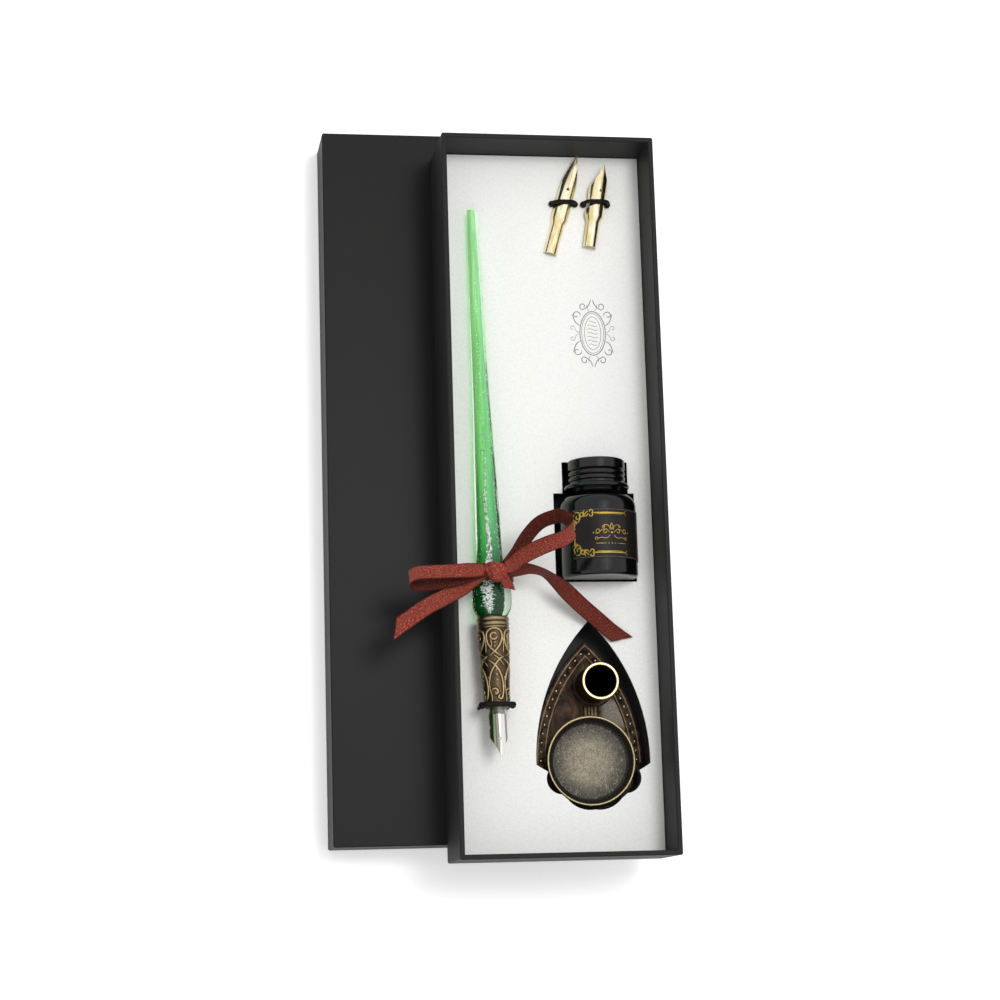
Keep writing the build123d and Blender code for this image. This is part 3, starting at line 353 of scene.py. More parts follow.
class Dust(ShaderGroup):
    """Slow smudges that break up an even gloss."""

    label = "dust"
    takes = (Port("Vector", "Vector"), Port("Clean", "Float", 0.08), Port("Dull", "Float", 0.2),
             Port("Scale", "Float", 60.0))
    gives = (Port("Roughness"),)

    def write(self) -> None:
        """Writes two sizes of smudge."""
        wide = self.noise(self.enter["Vector"], self.enter["Scale"], 5.0, 0.7, 0.8)
        fine = self.noise(self.enter["Vector"], self.maths("MULTIPLY", self.enter["Scale"], 9.0), 2.0)
        both = self.maths("MULTIPLY_ADD", wide, 0.75, self.maths("MULTIPLY", fine, 0.25))
        amount = self.span(both, 0.4, 0.68)
        width = self.maths("SUBTRACT", self.enter["Dull"], self.enter["Clean"])
        self.feed(self.leave["Roughness"], self.maths("MULTIPLY_ADD", amount, width, self.enter["Clean"]))


class Paint(Tree):
    """One material: its Principled shader and what feeds it."""

    groups: dict[type[ShaderGroup], bpy.types.NodeTree] = {}

    def __init__(self, name: str, **plain: object) -> None:
        """Starts a material.

        Args:
            name: Name of the material.
            **plain: Plain values of the shader's own sockets, with _ for a space.
        """
        self.material = bpy.data.materials.new(name)
        self.material.use_nodes = True
        super().__init__(self.material.node_tree)
        self.tree.nodes.clear()
        self.out = self.tree.nodes.new("ShaderNodeOutputMaterial")
        self.shader = self.tree.nodes.new("ShaderNodeBsdfPrincipled")
        self.tree.links.new(self.shader.outputs[0], self.out.inputs[0])
        self.put(**plain)

    def put(self, **sockets: object) -> None:
        """Feeds the shader's sockets, named with _ for a space."""
        for name, value in sockets.items():
            self.feed(self.shader.inputs[name.replace("_", " ")], value)

    @property
    def place(self) -> bpy.types.NodeSocket:
        """Object coordinates."""
        return self.node("TexCoord").outputs["Object"]

    @property
    def parts(self) -> bpy.types.bpy_prop_collection:
        """Object coordinates, one by one."""
        return self.node("SeparateXYZ", {0: self.place}).outputs

    @property
    def map(self) -> bpy.types.NodeSocket:
        """The piece's own UV map."""
        return self.node("UVMap").outputs[0]

    def group(self, kind: type[ShaderGroup], **inputs: object) -> bpy.types.bpy_prop_collection:
        """Places a shader group, built on its first use.

        Args:
            kind: The group.
            **inputs: What feeds its inputs; Vector is the object coordinates unless it is given.

        Returns:
            The group's outputs.
        """
        if kind not in self.groups:
            self.groups[kind] = kind().tree
        made = self.tree.nodes.new("ShaderNodeGroup")
        made.node_tree = self.groups[kind]
        if "Vector" not in inputs:
            inputs["Vector"] = self.place
        for name, value in inputs.items():
            self.feed(made.inputs[name], value)
        return made.outputs

    def drawn(self, scale: Sequence[float], detail: float = 2.0, rough: float = 0.55, distortion: float = 0.0,
              turn: float = 0.0) -> bpy.types.NodeSocket:
        """Noise drawn out along an axis.

        Args:
            scale: Features per metre on each axis.
            detail: Octaves of the noise.
            rough: Weight of the finer octaves.
            distortion: How far it is warped.
            turn: Angle that it is turned by in plan.

        Returns:
            The noise's value.
        """
        return self.noise(self.stretch(self.place, scale, (0, 0, turn)), 1.0, detail, rough, distortion)

    def two(self, amount: object, low: float, high: float, dark: str, bright: str) -> bpy.types.NodeSocket:
        """Runs from one hex colour to another as an amount goes from low to high."""
        return self.mix(self.span(amount, low, high), linear(dark), linear(bright))

    def run(self, where: bpy.types.NodeSocket, *stops: tuple[float, str]) -> bpy.types.NodeSocket:
        """Runs through several colours along a value.

        Args:
            where: The value, from 0 to 1.
            *stops: Places and hex colours, in order.

        Returns:
            The colour's socket.
        """
        made = self.node("ValToRGB", {0: where})
        elements = made.color_ramp.elements
        elements[0].position, elements[0].color = stops[0][0], linear(stops[0][1])
        elements[1].position, elements[1].color = stops[-1][0], linear(stops[-1][1])
        for place, code in stops[1:-1]:
            elements.new(place).color = linear(code)
        return made.outputs[0]

    def bump(self, height: object, distance: float, strength: float = 1.0) -> None:
        """Feeds a bump of a height in metres into the shader's normal."""
        self.put(Normal=self.node("Bump", {"Height": height, "Distance": distance, "Strength": strength}))

    def let_light_through(self, colour: str) -> None:
        """Lets shadow rays pass, in a tint, so that glass colours the light on the card."""
        clear = self.node("BsdfTransparent", {0: linear(colour)})
        shadow = self.node("LightPath").outputs["Is Shadow Ray"]
        self.feed(self.out.inputs[0], self.node("MixShader", {0: shadow, 1: self.shader, 2: clear}))


# ------------------------------------------------------------------- finishes
@dataclass(frozen=True)
class StandLevels:
    """Heights of the stand above the floor, centres and radii, in metres."""

    plate: float = 28.5 * MM
    ridge: float = 28.85 * MM
    lip: float = 45.0 * MM
    dish_rim: float = 34.5 * MM
    dish_floor: float = 30.3 * MM
    dish: tuple[float, float] = (36.2 * MM, -111.7 * MM)
    tube: tuple[float, float] = (38.9 * MM, -81.1 * MM)
    tube_bore: float = 6.3 * MM
    lip_crown: float = 6.85 * MM


STAND = StandLevels()


@dataclass(frozen=True)
class Finish:
    """A finish: the name of its material and how its shader is written."""

    name: str

    def paint(self) -> Paint:
        """Writes the shader."""
        raise NotImplementedError


@dataclass(frozen=True)
class WrapPaper(Finish):
    """Black wrapping paper with a fine tooth and rubbed patches, under a thin film."""

    base: str
    tone: str
    worn: str
    specular: float
    film: float

    def paint(self) -> Paint:
        """Writes grain, rubbed patches and the film."""
        paint = Paint(self.name, Specular_IOR_Level=self.specular, Coat_Weight=self.film, Coat_Roughness=0.4)
        grain = paint.group(PaperGrain, Base=linear(self.base), Tone=linear(self.tone), Scale=2600.0,
                            Cloud=24.0)
        rub = paint.span(paint.noise(paint.place, 420.0, 4.0, 0.7), 0.66, 0.74, 0.0, 0.5)
        paint.put(Base_Color=paint.mix(rub, grain["Color"], linear(self.worn)), Roughness=grain["Roughness"])
        paint.bump(grain["Height"], 0.00005, 0.55)
        return paint


@dataclass(frozen=True)
class TrayCard(Finish):
    """White textured card of the tray."""

    def paint(self) -> Paint:
        """Writes pebbles whose valleys are painted a little darker as shade, and are duller."""
        paint = Paint(self.name, Specular_IOR_Level=0.3)
        tooth = paint.group(CardTooth, Scale=1250.0)
        grain = paint.group(PaperGrain, Base=linear("f6f6f4"), Tone=linear("fafaf8"), Scale=1500.0,
                            Cloud=18.0)
        # Painted shade: the valleys between the pebbles take the darker colour.
        shade = paint.span(tooth["Shade"], 0.0, 1.0, 0.3, 1.0)
        paint.put(Base_Color=paint.mix(shade, linear("efefec"), grain["Color"]),
                  Roughness=paint.span(tooth["Shade"], 0, 1, 0.72, 0.5))
        paint.bump(tooth["Height"], 0.00004, 0.35)
        return paint


@dataclass(frozen=True)
class Speckled(Finish):
    """A dull surface of two colours under fine noise: printing ink, foam or a worn line.

    scale, detail and rough are those of the noise, spread its range between the two colours, dull the
    roughness at the darker and the paler, and relief the height of its bump in metres and its strength.
    """

    dark: str
    bright: str
    scale: float
    spread: tuple[float, float]
    dull: tuple[float, float]
    specular: float = 0.5
    sheen: float = 0.0
    detail: float = 3.0
    rough: float = 0.7
    relief: tuple[float, float] | None = None

    def paint(self) -> Paint:
        """Writes the noise into colour, roughness and relief."""
        paint = Paint(self.name, Specular_IOR_Level=self.specular)
        if self.sheen:
            paint.put(Sheen_Weight=self.sheen, Sheen_Roughness=0.6)
        speck = paint.noise(paint.place, self.scale, self.detail, self.rough)
        paint.put(Base_Color=paint.two(speck, *self.spread, self.dark, self.bright),
                  Roughness=paint.span(speck, 0.3, 0.7, *self.dull))
        if self.relief:
            paint.bump(speck, *self.relief)
        return paint


@dataclass(frozen=True)
class ClearGlass(Finish):
    """Clear outer glass of the pen, faintly drawn."""

    def paint(self) -> Paint:
        """Writes long faint streaks."""
        paint = Paint(self.name, Transmission_Weight=1.0, IOR=1.45, Specular_IOR_Level=0.5)
        draw = paint.drawn((420.0, 26.0, 420.0))
        paint.put(Base_Color=paint.two(draw, 0.35, 0.65, "f6fff6", "ffffff"),
                  Roughness=paint.span(draw, 0.3, 0.7, 0.0, 0.03))
        paint.bump(draw, 0.0003, 0.2)
        paint.let_light_through("fbfffb")
        return paint


@dataclass(frozen=True)
class GreenGlass(Finish):
    """Green core: bright and yellowish on one side, bluish on the other, and deep in the bulb."""

    def paint(self) -> Paint:
        """Writes two runs of colour down the pen, side by side, under long streaks."""
        paint = Paint(self.name, Transmission_Weight=0.42, IOR=1.12, Specular_IOR_Level=0.3)
        parts = paint.parts
        along = paint.span(parts[1], 0.113, -0.055)
        across = paint.maths("MULTIPLY_ADD", parts[1], PEN_SLANT, parts[0])
        bright = paint.run(along, (0.0, "ccf0c0"), (0.35, "a9ea98"), (0.62, "88dc7e"), (0.80, "64c66c"),
                           (0.87, "3cae4c"), (0.92, "17682e"), (1.0, "0e4e22"))
        cool = paint.run(along, (0.0, "c6f2cc"), (0.35, "a8e6b2"), (0.62, "8fdaa0"), (0.80, "68bd88"),
                         (0.87, "368a58"), (0.92, "165830"), (1.0, "0c401e"))
        streak = paint.drawn((900.0, 14.0, 900.0), 3.0, 0.6, 0.4)
        side = paint.span(paint.maths("MULTIPLY_ADD", streak, 0.0012, across), -0.0051, -0.0034)
        body = paint.mix(side, bright, cool)
        dark = paint.mix(1.0, body, linear("9cc4a4"), "MULTIPLY")
        paint.put(Base_Color=paint.mix(paint.span(streak, 0.46, 0.66, 0.0, 0.6), body, dark),
                  Roughness=paint.span(streak, 0.3, 0.7, 0.06, 0.2))
        paint.bump(streak, 0.0002, 0.2)
        paint.let_light_through("a8eaa8")
        return paint


@dataclass(frozen=True)
class SilverLeaf(Finish):
    """Crumpled silver leaf whose colour runs from dark green to white over the crumples, as painted
    reflection and shade.
    """

    def paint(self) -> Paint:
        """Writes the crumples into colour, which is painted reflection and shade, into roughness and into
        relief.
        """
        paint = Paint(self.name, Metallic=0.35, Specular_IOR_Level=0.6)
        crumple = paint.noise(paint.place, 1050.0, 3.0, 0.7, 1.2)
        # Painted reflection and shade: dark green facets and white facets stand in for what the crumpled leaf
        # mirrors.
        shade = paint.run(paint.span(crumple, 0.4, 0.58),
                          (0.0, "1d3825"), (0.3, "5f7c68"), (0.44, "f2f6f2"), (1.0, "ffffff"))
        paint.put(Base_Color=shade, Roughness=paint.span(crumple, 0.3, 0.7, 0.4, 0.22))
        paint.bump(crumple, 0.0006, 1.0)
        return paint


@dataclass(frozen=True)
class AgedMetal(Finish):
    """Aged metal with a patina.

    bright is its rubbed colour and dark that of its hollows, rub how rubbed it is, scale the size of its
    blotches per metre, and pits the height of its pits in metres.
    """

    bright: str
    dark: str
    rub: float
    scale: float
    pits: float = 0.00006

    def rubbing(self, paint: Paint) -> object:
        """How rubbed the surface is."""
        return self.rub

    def paint(self) -> Paint:
        """Writes the patina."""
        paint = Paint(self.name, Metallic=1.0)
        skin = paint.group(Patina, Bright=linear(self.bright), Dark=linear(self.dark),
                           Rub=self.rubbing(paint),
                           Scale=self.scale)
        paint.put(Base_Color=skin["Color"], Roughness=skin["Roughness"])
        paint.bump(skin["Height"], self.pits, 0.5)
        return paint


@dataclass(frozen=True)
class CastPlate(AgedMetal):
    """Dark cast plate whose raised lines are rubbed bright."""

    def rubbing(self, paint: Paint) -> bpy.types.NodeSocket:
        """Rubbed to rub on whatever stands above the plate."""
        return paint.span(paint.parts[2], STAND.plate + 0.0002, STAND.ridge, 0.1, self.rub)


@dataclass(frozen=True)
class GoldPlate(Finish):
    """Polished pale gold plating."""

    def paint(self) -> Paint:
        """Writes slow drifts of tone, smudges and fine drawn lines."""
        paint = Paint(self.name, Metallic=1.0)
        smudge = paint.group(Dust, Clean=0.12, Dull=0.26, Scale=220.0)
        tone = paint.drawn((520.0, 120.0, 520.0), 3.0, turn=0.2)
        paint.put(Base_Color=paint.two(tone, 0.38, 0.62, "e9d59a", "fdf7dc"), Roughness=smudge["Roughness"])
        paint.bump(paint.drawn((1800.0, 300.0, 1800.0), 3.0), 0.00002, 0.5)
        return paint


@dataclass(frozen=True)
class BandedSteel(Finish):
    """Bright steel of the pen's nib, coloured across its width from dark green along one side through a brown
    band to bright steel.
    """

    def paint(self) -> Paint:
        """Writes wandering bands of colour across the nib."""
        paint = Paint(self.name, Metallic=0.6)
        smudge = paint.group(Dust, Clean=0.1, Dull=0.24, Scale=260.0)
        parts = paint.parts
        across = paint.maths("MULTIPLY_ADD", parts[1], PEN_SLANT, parts[0])
        wander = paint.drawn((500.0, 160.0, 500.0), 3.0)
        across = paint.span(paint.maths("MULTIPLY_ADD", wander, 0.0009, across), -0.0072, -0.0022)
        steel = paint.run(across, (0.0, "46523f"), (0.05, "323c30"), (0.11, "b4c78c"), (0.18, "92a67e"),
                          (0.26, "56675a"), (0.36, "a3a39a"), (0.44, "8d775d"), (0.54, "e6e5e2"))
        paint.put(Base_Color=steel, Roughness=smudge["Roughness"])
        return paint


@dataclass(frozen=True)
class Gloss(Finish):
    """Smooth hard surface: two colours, its roughness clean and in a smudge, and its smudges per metre."""

    base: str
    tone: str
    clean: float
    dull: float
    scale: float
    specular: float = 0.5

    def paint(self) -> Paint:
        """Writes clouds of tone, smudges and a faint unevenness."""
        paint = Paint(self.name, Specular_IOR_Level=self.specular)
        smudge = paint.group(Dust, Clean=self.clean, Dull=self.dull, Scale=self.scale)
        cloud = paint.noise(paint.place, self.scale, 4.0)
        paint.put(Base_Color=paint.two(cloud, 0.35, 0.65, self.base, self.tone),
                  Roughness=smudge["Roughness"])
        paint.bump(paint.noise(paint.place, self.scale * 8, 2.0), 0.00002, 0.3)
        return paint


@dataclass(frozen=True)
class LabelPaper(Finish):
    """Black label paper with a soft varnish."""

    def paint(self) -> Paint:
        """Writes the paper's grain."""
        paint = Paint(self.name, Specular_IOR_Level=0.22)
        grain = paint.group(PaperGrain, Base=linear("141211"), Tone=linear("1f1c1a"), Scale=2200.0,
                            Cloud=60.0)
        paint.put(Base_Color=grain["Color"], Roughness=paint.span(grain["Height"], 0.3, 0.7, 0.34, 0.5))
        paint.bump(grain["Height"], 0.00003, 0.5)
        return paint


@dataclass(frozen=True)
class Satin(Finish):
    """Woven satin with bright flecks and a darker edge.

    base is the colour between its threads and light that of the threads, shade that of its dark patches and
    spark that of its bright flecks.
    """

    base: str
    light: str
    shade: str
    spark: str

    def paint(self) -> Paint:
        """Writes weave, slow shading, flecks and edges, on the ribbon's own map."""
        paint = Paint(self.name, Sheen_Weight=0.06, Sheen_Roughness=0.4, Sheen_Tint=linear("b8705c"),
                      Specular_IOR_Level=0.12)
        weave = paint.group(Weave, Vector=paint.map, Base=linear(self.base), Light=linear(self.light),
                            Thread=0.3)
        across = paint.node("SeparateXYZ", {0: paint.map}).outputs[0]
        near = paint.span(across, 0.0002, 0.0005, 1.0, 0.0)
        far = paint.span(across, RIBBON_WIDTH - 0.0005, RIBBON_WIDTH - 0.0002)
        edge = paint.maths("MULTIPLY", paint.maths("MAXIMUM", near, far), 0.7)
        slow = paint.noise(paint.stretch(paint.map, (260.0, 60.0, 1.0)), 1.0, 2.0)
        fleck = paint.noise(paint.stretch(paint.map, (1900.0, 1600.0, 1.0)), 1.0, 2.0, 0.8)
        shade = linear(self.shade)
        body = paint.mix(paint.span(slow, 0.35, 0.65, 0.0, 0.35), weave["Color"], shade)
        body = paint.mix(paint.span(fleck, 0.53, 0.66, 0.0, 0.75), body, linear(self.spark))
        body = paint.mix(paint.span(fleck, 0.34, 0.47, 0.6, 0.0), body, shade)
        paint.put(Base_Color=paint.mix(edge, body, linear("2e110e")), Roughness=weave["Roughness"])
        paint.bump(weave["Height"], 0.00005, 0.9)
        return paint


@dataclass(frozen=True)
class Braid(Finish):
    """Black braided elastic."""

    def paint(self) -> Paint:
        """Writes slanting bands of braid."""
        paint = Paint(self.name, Specular_IOR_Level=0.16)
        braid = paint.node("TexWave", {"Vector": paint.place, "Scale": 900.0, "Distortion": 1.2,
                                       "Detail": 1.0},
                           bands_direction="DIAGONAL").outputs[1]
        paint.put(Base_Color=paint.mix(braid, linear("060606"), linear("141313")),
                  Roughness=paint.span(braid, 0, 1, 0.6, 0.42))
        paint.bump(braid, 0.00008, 0.7)
        return paint


def radius_from(paint: Paint, centre: tuple[float, float]) -> bpy.types.NodeSocket:
    """Distance in plan from an upright axis."""
    centred = paint.stretch(paint.place, (1.0, 1.0, 0.0), (0, 0, 0), (-centre[0], -centre[1], 0.0))
    return paint.node("VectorMath", {0: centred}, operation="LENGTH").outputs["Value"]


@dataclass(frozen=True)
class Enamel(Finish):
    """Brown enamel panels in warm clouds of lighter and darker tone, with a pale grey patch on one side as
    painted reflection.
    """

    def paint(self) -> Paint:
        """Writes warm clouds and, in front of the dish on one side, a pale grey patch of painted reflection.
        """
        paint = Paint(self.name, Specular_IOR_Level=0.12)
        parts, (x, y) = paint.parts, STAND.dish
        cloud = paint.noise(paint.place, 170.0, 5.0, 0.65, 0.8)
        fine = paint.drawn((900.0, 2600.0, 900.0), 4.0, 0.7, turn=0.4)
        warm = paint.run(paint.span(cloud, 0.36, 0.64),
                         (0.0, "231b15"), (0.4, "382b23"), (0.75, "4f3a2c"), (1.0, "5f4632"))
        # Painted reflection: a pale grey patch on one side of the dish, in front of it.
        side = paint.span(paint.maths("MULTIPLY_ADD", cloud, 0.004, parts[0]), x + 0.0065, x + 0.0085)
        back = paint.span(parts[1], y + 0.0235, y + 0.0255, 1.0, 0.0)
        front = paint.maths("MULTIPLY", back, paint.span(parts[1], y + 0.0125, y + 0.0145))
        body = paint.mix(paint.maths("MULTIPLY", side, front), warm,
                         paint.two(fine, 0.35, 0.65, "6d645b", "9c9287"))
        paint.put(Base_Color=paint.mix(paint.span(fine, 0.55, 0.78, 0.0, 0.3), body, linear("86694f")),
                  Roughness=paint.span(fine, 0.3, 0.7, 0.42, 0.66))
        paint.bump(fine, 0.00006, 0.5)
        return paint


@dataclass(frozen=True)
class TubeMetal(Finish):
    """Dark tube with a pale lip of rubbed gold with a painted highlight on its crown, and a bore painted
    black as shade.
    """

    def paint(self) -> Paint:
        """Writes the patina, the lip's rubbed gold and painted highlight by its distance from the crown, and
        the bore painted dark as shade.
        """
        paint = Paint(self.name, Metallic=1.0)
        skin = paint.group(Patina, Bright=linear("5d4b3a"), Dark=linear("17110d"), Rub=0.3, Scale=260.0)
        radius = radius_from(paint, STAND.tube)
        # Painted shade: the bore is painted near black.
        inside = paint.span(radius, STAND.tube_bore + 0.0001, STAND.tube_bore + 0.0004, 1.0, 0.0)
        lip = paint.span(paint.parts[2], STAND.lip - 0.0009, STAND.lip - 0.0005)
        off = paint.maths("ABSOLUTE", paint.maths("SUBTRACT", radius, STAND.lip_crown))
        # Painted highlight: the lip is palest on its crown and fades through gold to dark metal.
        gilt_and_highlight = paint.run(paint.span(off, 0.0, 0.0006),
                         (0.0, "fff6de"), (0.4, "e8d49c"), (0.75, "94733e"), (1.0, "4a3620"))
        dull = paint.maths("MAXIMUM", skin["Roughness"], paint.maths("MULTIPLY", inside, 0.85))
        paint.put(Base_Color=paint.mix(lip, paint.mix(inside, skin["Color"], linear("070605")), gilt_and_highlight),
                  Roughness=dull)
        paint.bump(skin["Height"], 0.0001, 0.5)
        return paint


@dataclass(frozen=True)
class DishMetal(Finish):
    """Dish with a pale rim that is rubbed metal with a painted highlight, a wall painted dark as shade, and a
    scratched grey-brown floor that darkens towards the wall as painted shade.
    """

    def paint(self) -> Paint:
        """Writes the floor from its middle outwards, darker towards the wall as painted shade, then its
        scratches and dots, the wall painted dark as shade, and the rim with its painted highlight.
        """
        paint = Paint(self.name, Metallic=0.85)
        height, radius = paint.parts[2], radius_from(paint, STAND.dish)
        speck = paint.noise(paint.place, 1700.0, 5.0, 0.75)
        cloud = paint.noise(paint.place, 110.0, 3.0)
        tone = paint.maths("MULTIPLY_ADD", speck, 0.75, paint.maths("MULTIPLY", cloud, 0.25))
        # Painted shade: the floor darkens from its middle towards the wall.
        reach = paint.maths("MULTIPLY_ADD", cloud, 0.004, radius)
        floor = paint.mix(paint.span(reach, 0.0075, 0.0165, 0.0, 1.0, True),
                          paint.two(tone, 0.36, 0.64, "625c51", "9a917f"),
                          paint.two(tone, 0.36, 0.64, "33312e", "55524b"))
        marks = paint.group(Scratches, Scale=470.0, Width=0.016)
        floor = paint.mix(paint.maths("MULTIPLY", marks["Mask"], 0.42), floor, linear("bdb6a2"))
        dots = paint.span(paint.noise(paint.place, 2400.0, 2.0, 0.5), 0.66, 0.72, 0.0, 0.8)
        floor = paint.mix(dots, floor, linear("1d1a16"))
        # Painted shade: the wall, above the floor, takes darker colours.
        low = paint.span(height, STAND.dish_floor + 0.0001, STAND.dish_floor + 0.0022, 0.0, 1.0, True)
        body = paint.mix(low, floor, paint.two(speck, 0.4, 0.7, "2e2b27", "55504a"))
        # The rim's pale band is partly rubbed metal and partly painted highlight.
        rim = paint.span(height, STAND.dish_rim - 0.0006, STAND.dish_rim - 0.0003)
        paint.put(Base_Color=paint.mix(rim, body, linear("c4b48a")),
                  Roughness=paint.mix(rim, paint.span(speck, 0.3, 0.7, 0.62, 0.42), (0.24, 0.24, 0.24, 1)))
        paint.bump(paint.maths("ADD", speck, paint.maths("MULTIPLY", marks["Mask"], -0.4)), 0.00008, 0.5)
        return paint


class Look(Enum):
    """Every finish of the set."""

    BOX = WrapPaper("box_paper_wrap", "141415", "1b1b1c", "2c2c2f", 0.16, 0.2)
    LID = WrapPaper("lid_paper_wrap", "0c0b0b", "121110", "232222", 0.04, 0.36)
    CARD = TrayCard("tray_card")
    FOAM = Speckled("tray_foam", "060606", "100f0f", 4200.0, (0.35, 0.65), (0.8, 0.97), 0.1, 0.04, 4.0, 0.75,
                    (0.0002, 0.8))
    PRINT = Speckled("card_print", "5c6461", "9aa19e", 3400.0, (0.36, 0.66), (0.6, 0.85), 0.2)
    CLEAR_GLASS = ClearGlass("pen_glass_clear")
    GREEN_GLASS = GreenGlass("pen_glass_green")
    SILVER_LEAF = SilverLeaf("silver_leaf")
    COLLAR = AgedMetal("ferrule_collars", "b3a282", "6b5a41", 0.6, 300.0)
    FERRULE = AgedMetal("ferrule_ground", "75624c", "2e241b", 0.46, 420.0, 0.00012)
    SCROLL = AgedMetal("ferrule_scrolls", "cdb78a", "7a6442", 0.66, 620.0)
    # Painted shadow: dark flat lines laid under the ferrule's scrolls, where their shade falls.
    SCROLL_SHADOW = AgedMetal("ferrule_scroll_shadows", "463628", "1c1510", 0.35, 700.0)
    HOLDER = Gloss("holder_black", "101210", "1c1f1c", 0.25, 0.45, 260.0)
    STEEL = BandedSteel("nib_steel_plate")
    GOLD = GoldPlate("nib_gold_plate")
    BOTTLE = Gloss("bottle_black_glass", "040405", "09090b", 0.13, 0.24, 60.0, 0.4)
    CAP = Gloss("cap_moulded", "050507", "0a0a0d", 0.15, 0.27, 160.0, 0.42)
    INK = Gloss("ink_black", "020204", "060610", 0.03, 0.08, 80.0)
    LINER = Speckled("cap_liner_foam", "b8b8b4", "d4d4d0", 2400.0, (0.35, 0.65), (0.7, 0.95), 0.2,
                     relief=(0.0001, 0.6))
    LABEL = LabelPaper("label_paper")
    GILDING = AgedMetal("label_gilding", "e2c25c", "86691f", 0.68, 1500.0, 0.00003)
    LABEL_LINE = Speckled("label_line", "3c3b3a", "6e6c6a", 2600.0, (0.4, 0.62), (0.4, 0.6), rough=0.55)
    RIBBON = Satin("ribbon_satin", "602119", "a84a3c", "5e2018", "c87462")
    # Darker copies of the satin as painted shade: one for the right tail and one for the loops' inner faces.
    RIBBON_SHADED = Satin("ribbon_satin_painted_shade", "4a1912", "82382c", "461610", "9a5443")
    RIBBON_INNER_SHADE = Satin("ribbon_satin_inner_painted_shade", "340f0b", "60241b", "35120d", "8a4434")
    ELASTIC = Braid("elastic_braid")
    STAND_PLATE = CastPlate("stand_plate_cast", "75624e", "19130f", 0.5, 330.0, 0.00012)
    STAND_ENAMEL = Enamel("stand_enamel")
    STAND_STUD = AgedMetal("stand_stud_gold", "f4ead0", "a8987a", 0.85, 900.0, 0.00002)
    STAND_TUBE = TubeMetal("stand_tube_cast")
    STAND_DISH = DishMetal("stand_dish_cast")

    @property
    def material(self) -> bpy.types.Material:
        """The finish's material, made on first use."""
        if self not in MADE:
            MADE[self] = self.value.paint().material
        return MADE[self]


MADE: dict[Look, bpy.types.Material] = {}


# --------------------------------------------------------------------- meshes
def catmull(points: Sequence[Sequence[float]], share: float) -> list[float]:
    """Point of a smooth run through all the given points.

    Args:
        points: Rows of numbers that the run goes through.
        share: Place along the run, 0 at its first point and 1 at its last.

    Returns:
        The row of numbers there.
    """
    last = len(points) - 1
    where = min(max(share, 0.0), 1.0) * last
    k = min(int(where), last - 1)
    t = where - k
    rows = [points[max(k - 1, 0)], points[k], points[k + 1], points[min(k + 2, last)]]
    return [0.5 * (2 * b + (c - a) * t + (2 * a - 5 * b + 4 * c - d) * t * t
                   + (3 * b - a - 3 * c + d) * t ** 3) for a, b, c, d in zip(*rows)]


def finish_piece(name: str, bm: bmesh.types.BMesh, look: Look, body: Body, slot: Slot, node: str = "",
                 smooth: bool = True, recalc: bool = True) -> bpy.types.Object:
    """Turns a bmesh into a piece that rides on a body.

    Args:
        name: Name of the piece.
        bm: Its shape, in metres in the set's frame; it is freed.
        look: Its finish.
        body: The body that it rides on.
        slot: The record's slot for it; not used.
        node: The CAD node that it stands for, if any.
        smooth: Whether its faces are shaded smooth.
        recalc: Whether its normals are turned outwards.

    Returns:
        The new object.
    """
    if recalc:
        bmesh.ops.recalc_face_normals(bm, faces=bm.faces)
    for face in bm.faces:
        face.smooth = smooth
    mesh = bpy.data.meshes.new(name)
    bm.to_mesh(mesh)
    bm.free()
    mesh.materials.append(look.material)
    made = bpy.data.objects.new(name, mesh)
    bpy.context.scene.collection.objects.link(made)
    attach(made, body.value)
    if node:
        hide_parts(node)
    LOG.info("%s: %d faces on %s", name, len(mesh.polygons), body.value)
    return made


def dress(**looks: Look) -> None:
    """Gives CAD nodes their finishes, each node by its name."""
    for node, look in looks.items():
        mesh = NODES[node].data
        mesh.materials.clear()
        mesh.materials.append(look.material)
        LOG.info("%s dressed with %s", node, look.value.name)


def thicken(piece: bpy.types.Object, thickness: float, second_side: int = 0) -> None:
    """Gives a sheet its thickness, with its second side's material that many slots on."""
    made = piece.modifiers.new("solidify", "SOLIDIFY")
    made.thickness = thickness
    made.offset = 0.0
    made.material_offset = second_side


def sweep(bm: bmesh.types.BMesh, rings: Sequence[Sequence[Vector]], closed: bool = False) -> None:
    """Draws a ring of points along a run and closes it.

    Args:
        bm: Where it is built.
        rings: The ring's points at each place along the run.
        closed: Whether the run's end meets its start; otherwise both ends are capped.
    """
    turn = bm.verts.layers.int.get("turn") or bm.verts.layers.int.new("turn")
    count = len(rings[0])
    verts = bmesh.ops.create_circle(bm, cap_ends=False, segments=count, radius=1.0)["verts"]
    for k, vert in enumerate(verts):
        vert[turn] = k
        vert.co = rings[0][k]
    edges = list(dict.fromkeys(edge for vert in verts for edge in vert.link_edges))
    first = edges
    for ring in rings[1:]:
        made = bmesh.ops.extrude_edge_only(bm, edges=edges)["geom"]
        verts = [item for item in made if isinstance(item, bmesh.types.BMVert)]
        fresh = set(verts)
        for vert in verts:
            vert.co = ring[vert[turn]]
        edges = [item for item in made if isinstance(item, bmesh.types.BMEdge) and set(item.verts) <= fresh]
    if closed:
        bmesh.ops.bridge_loops(bm, edges=first + edges)
    else:
        bmesh.ops.contextual_create(bm, geom=first)
        bmesh.ops.contextual_create(bm, geom=edges)


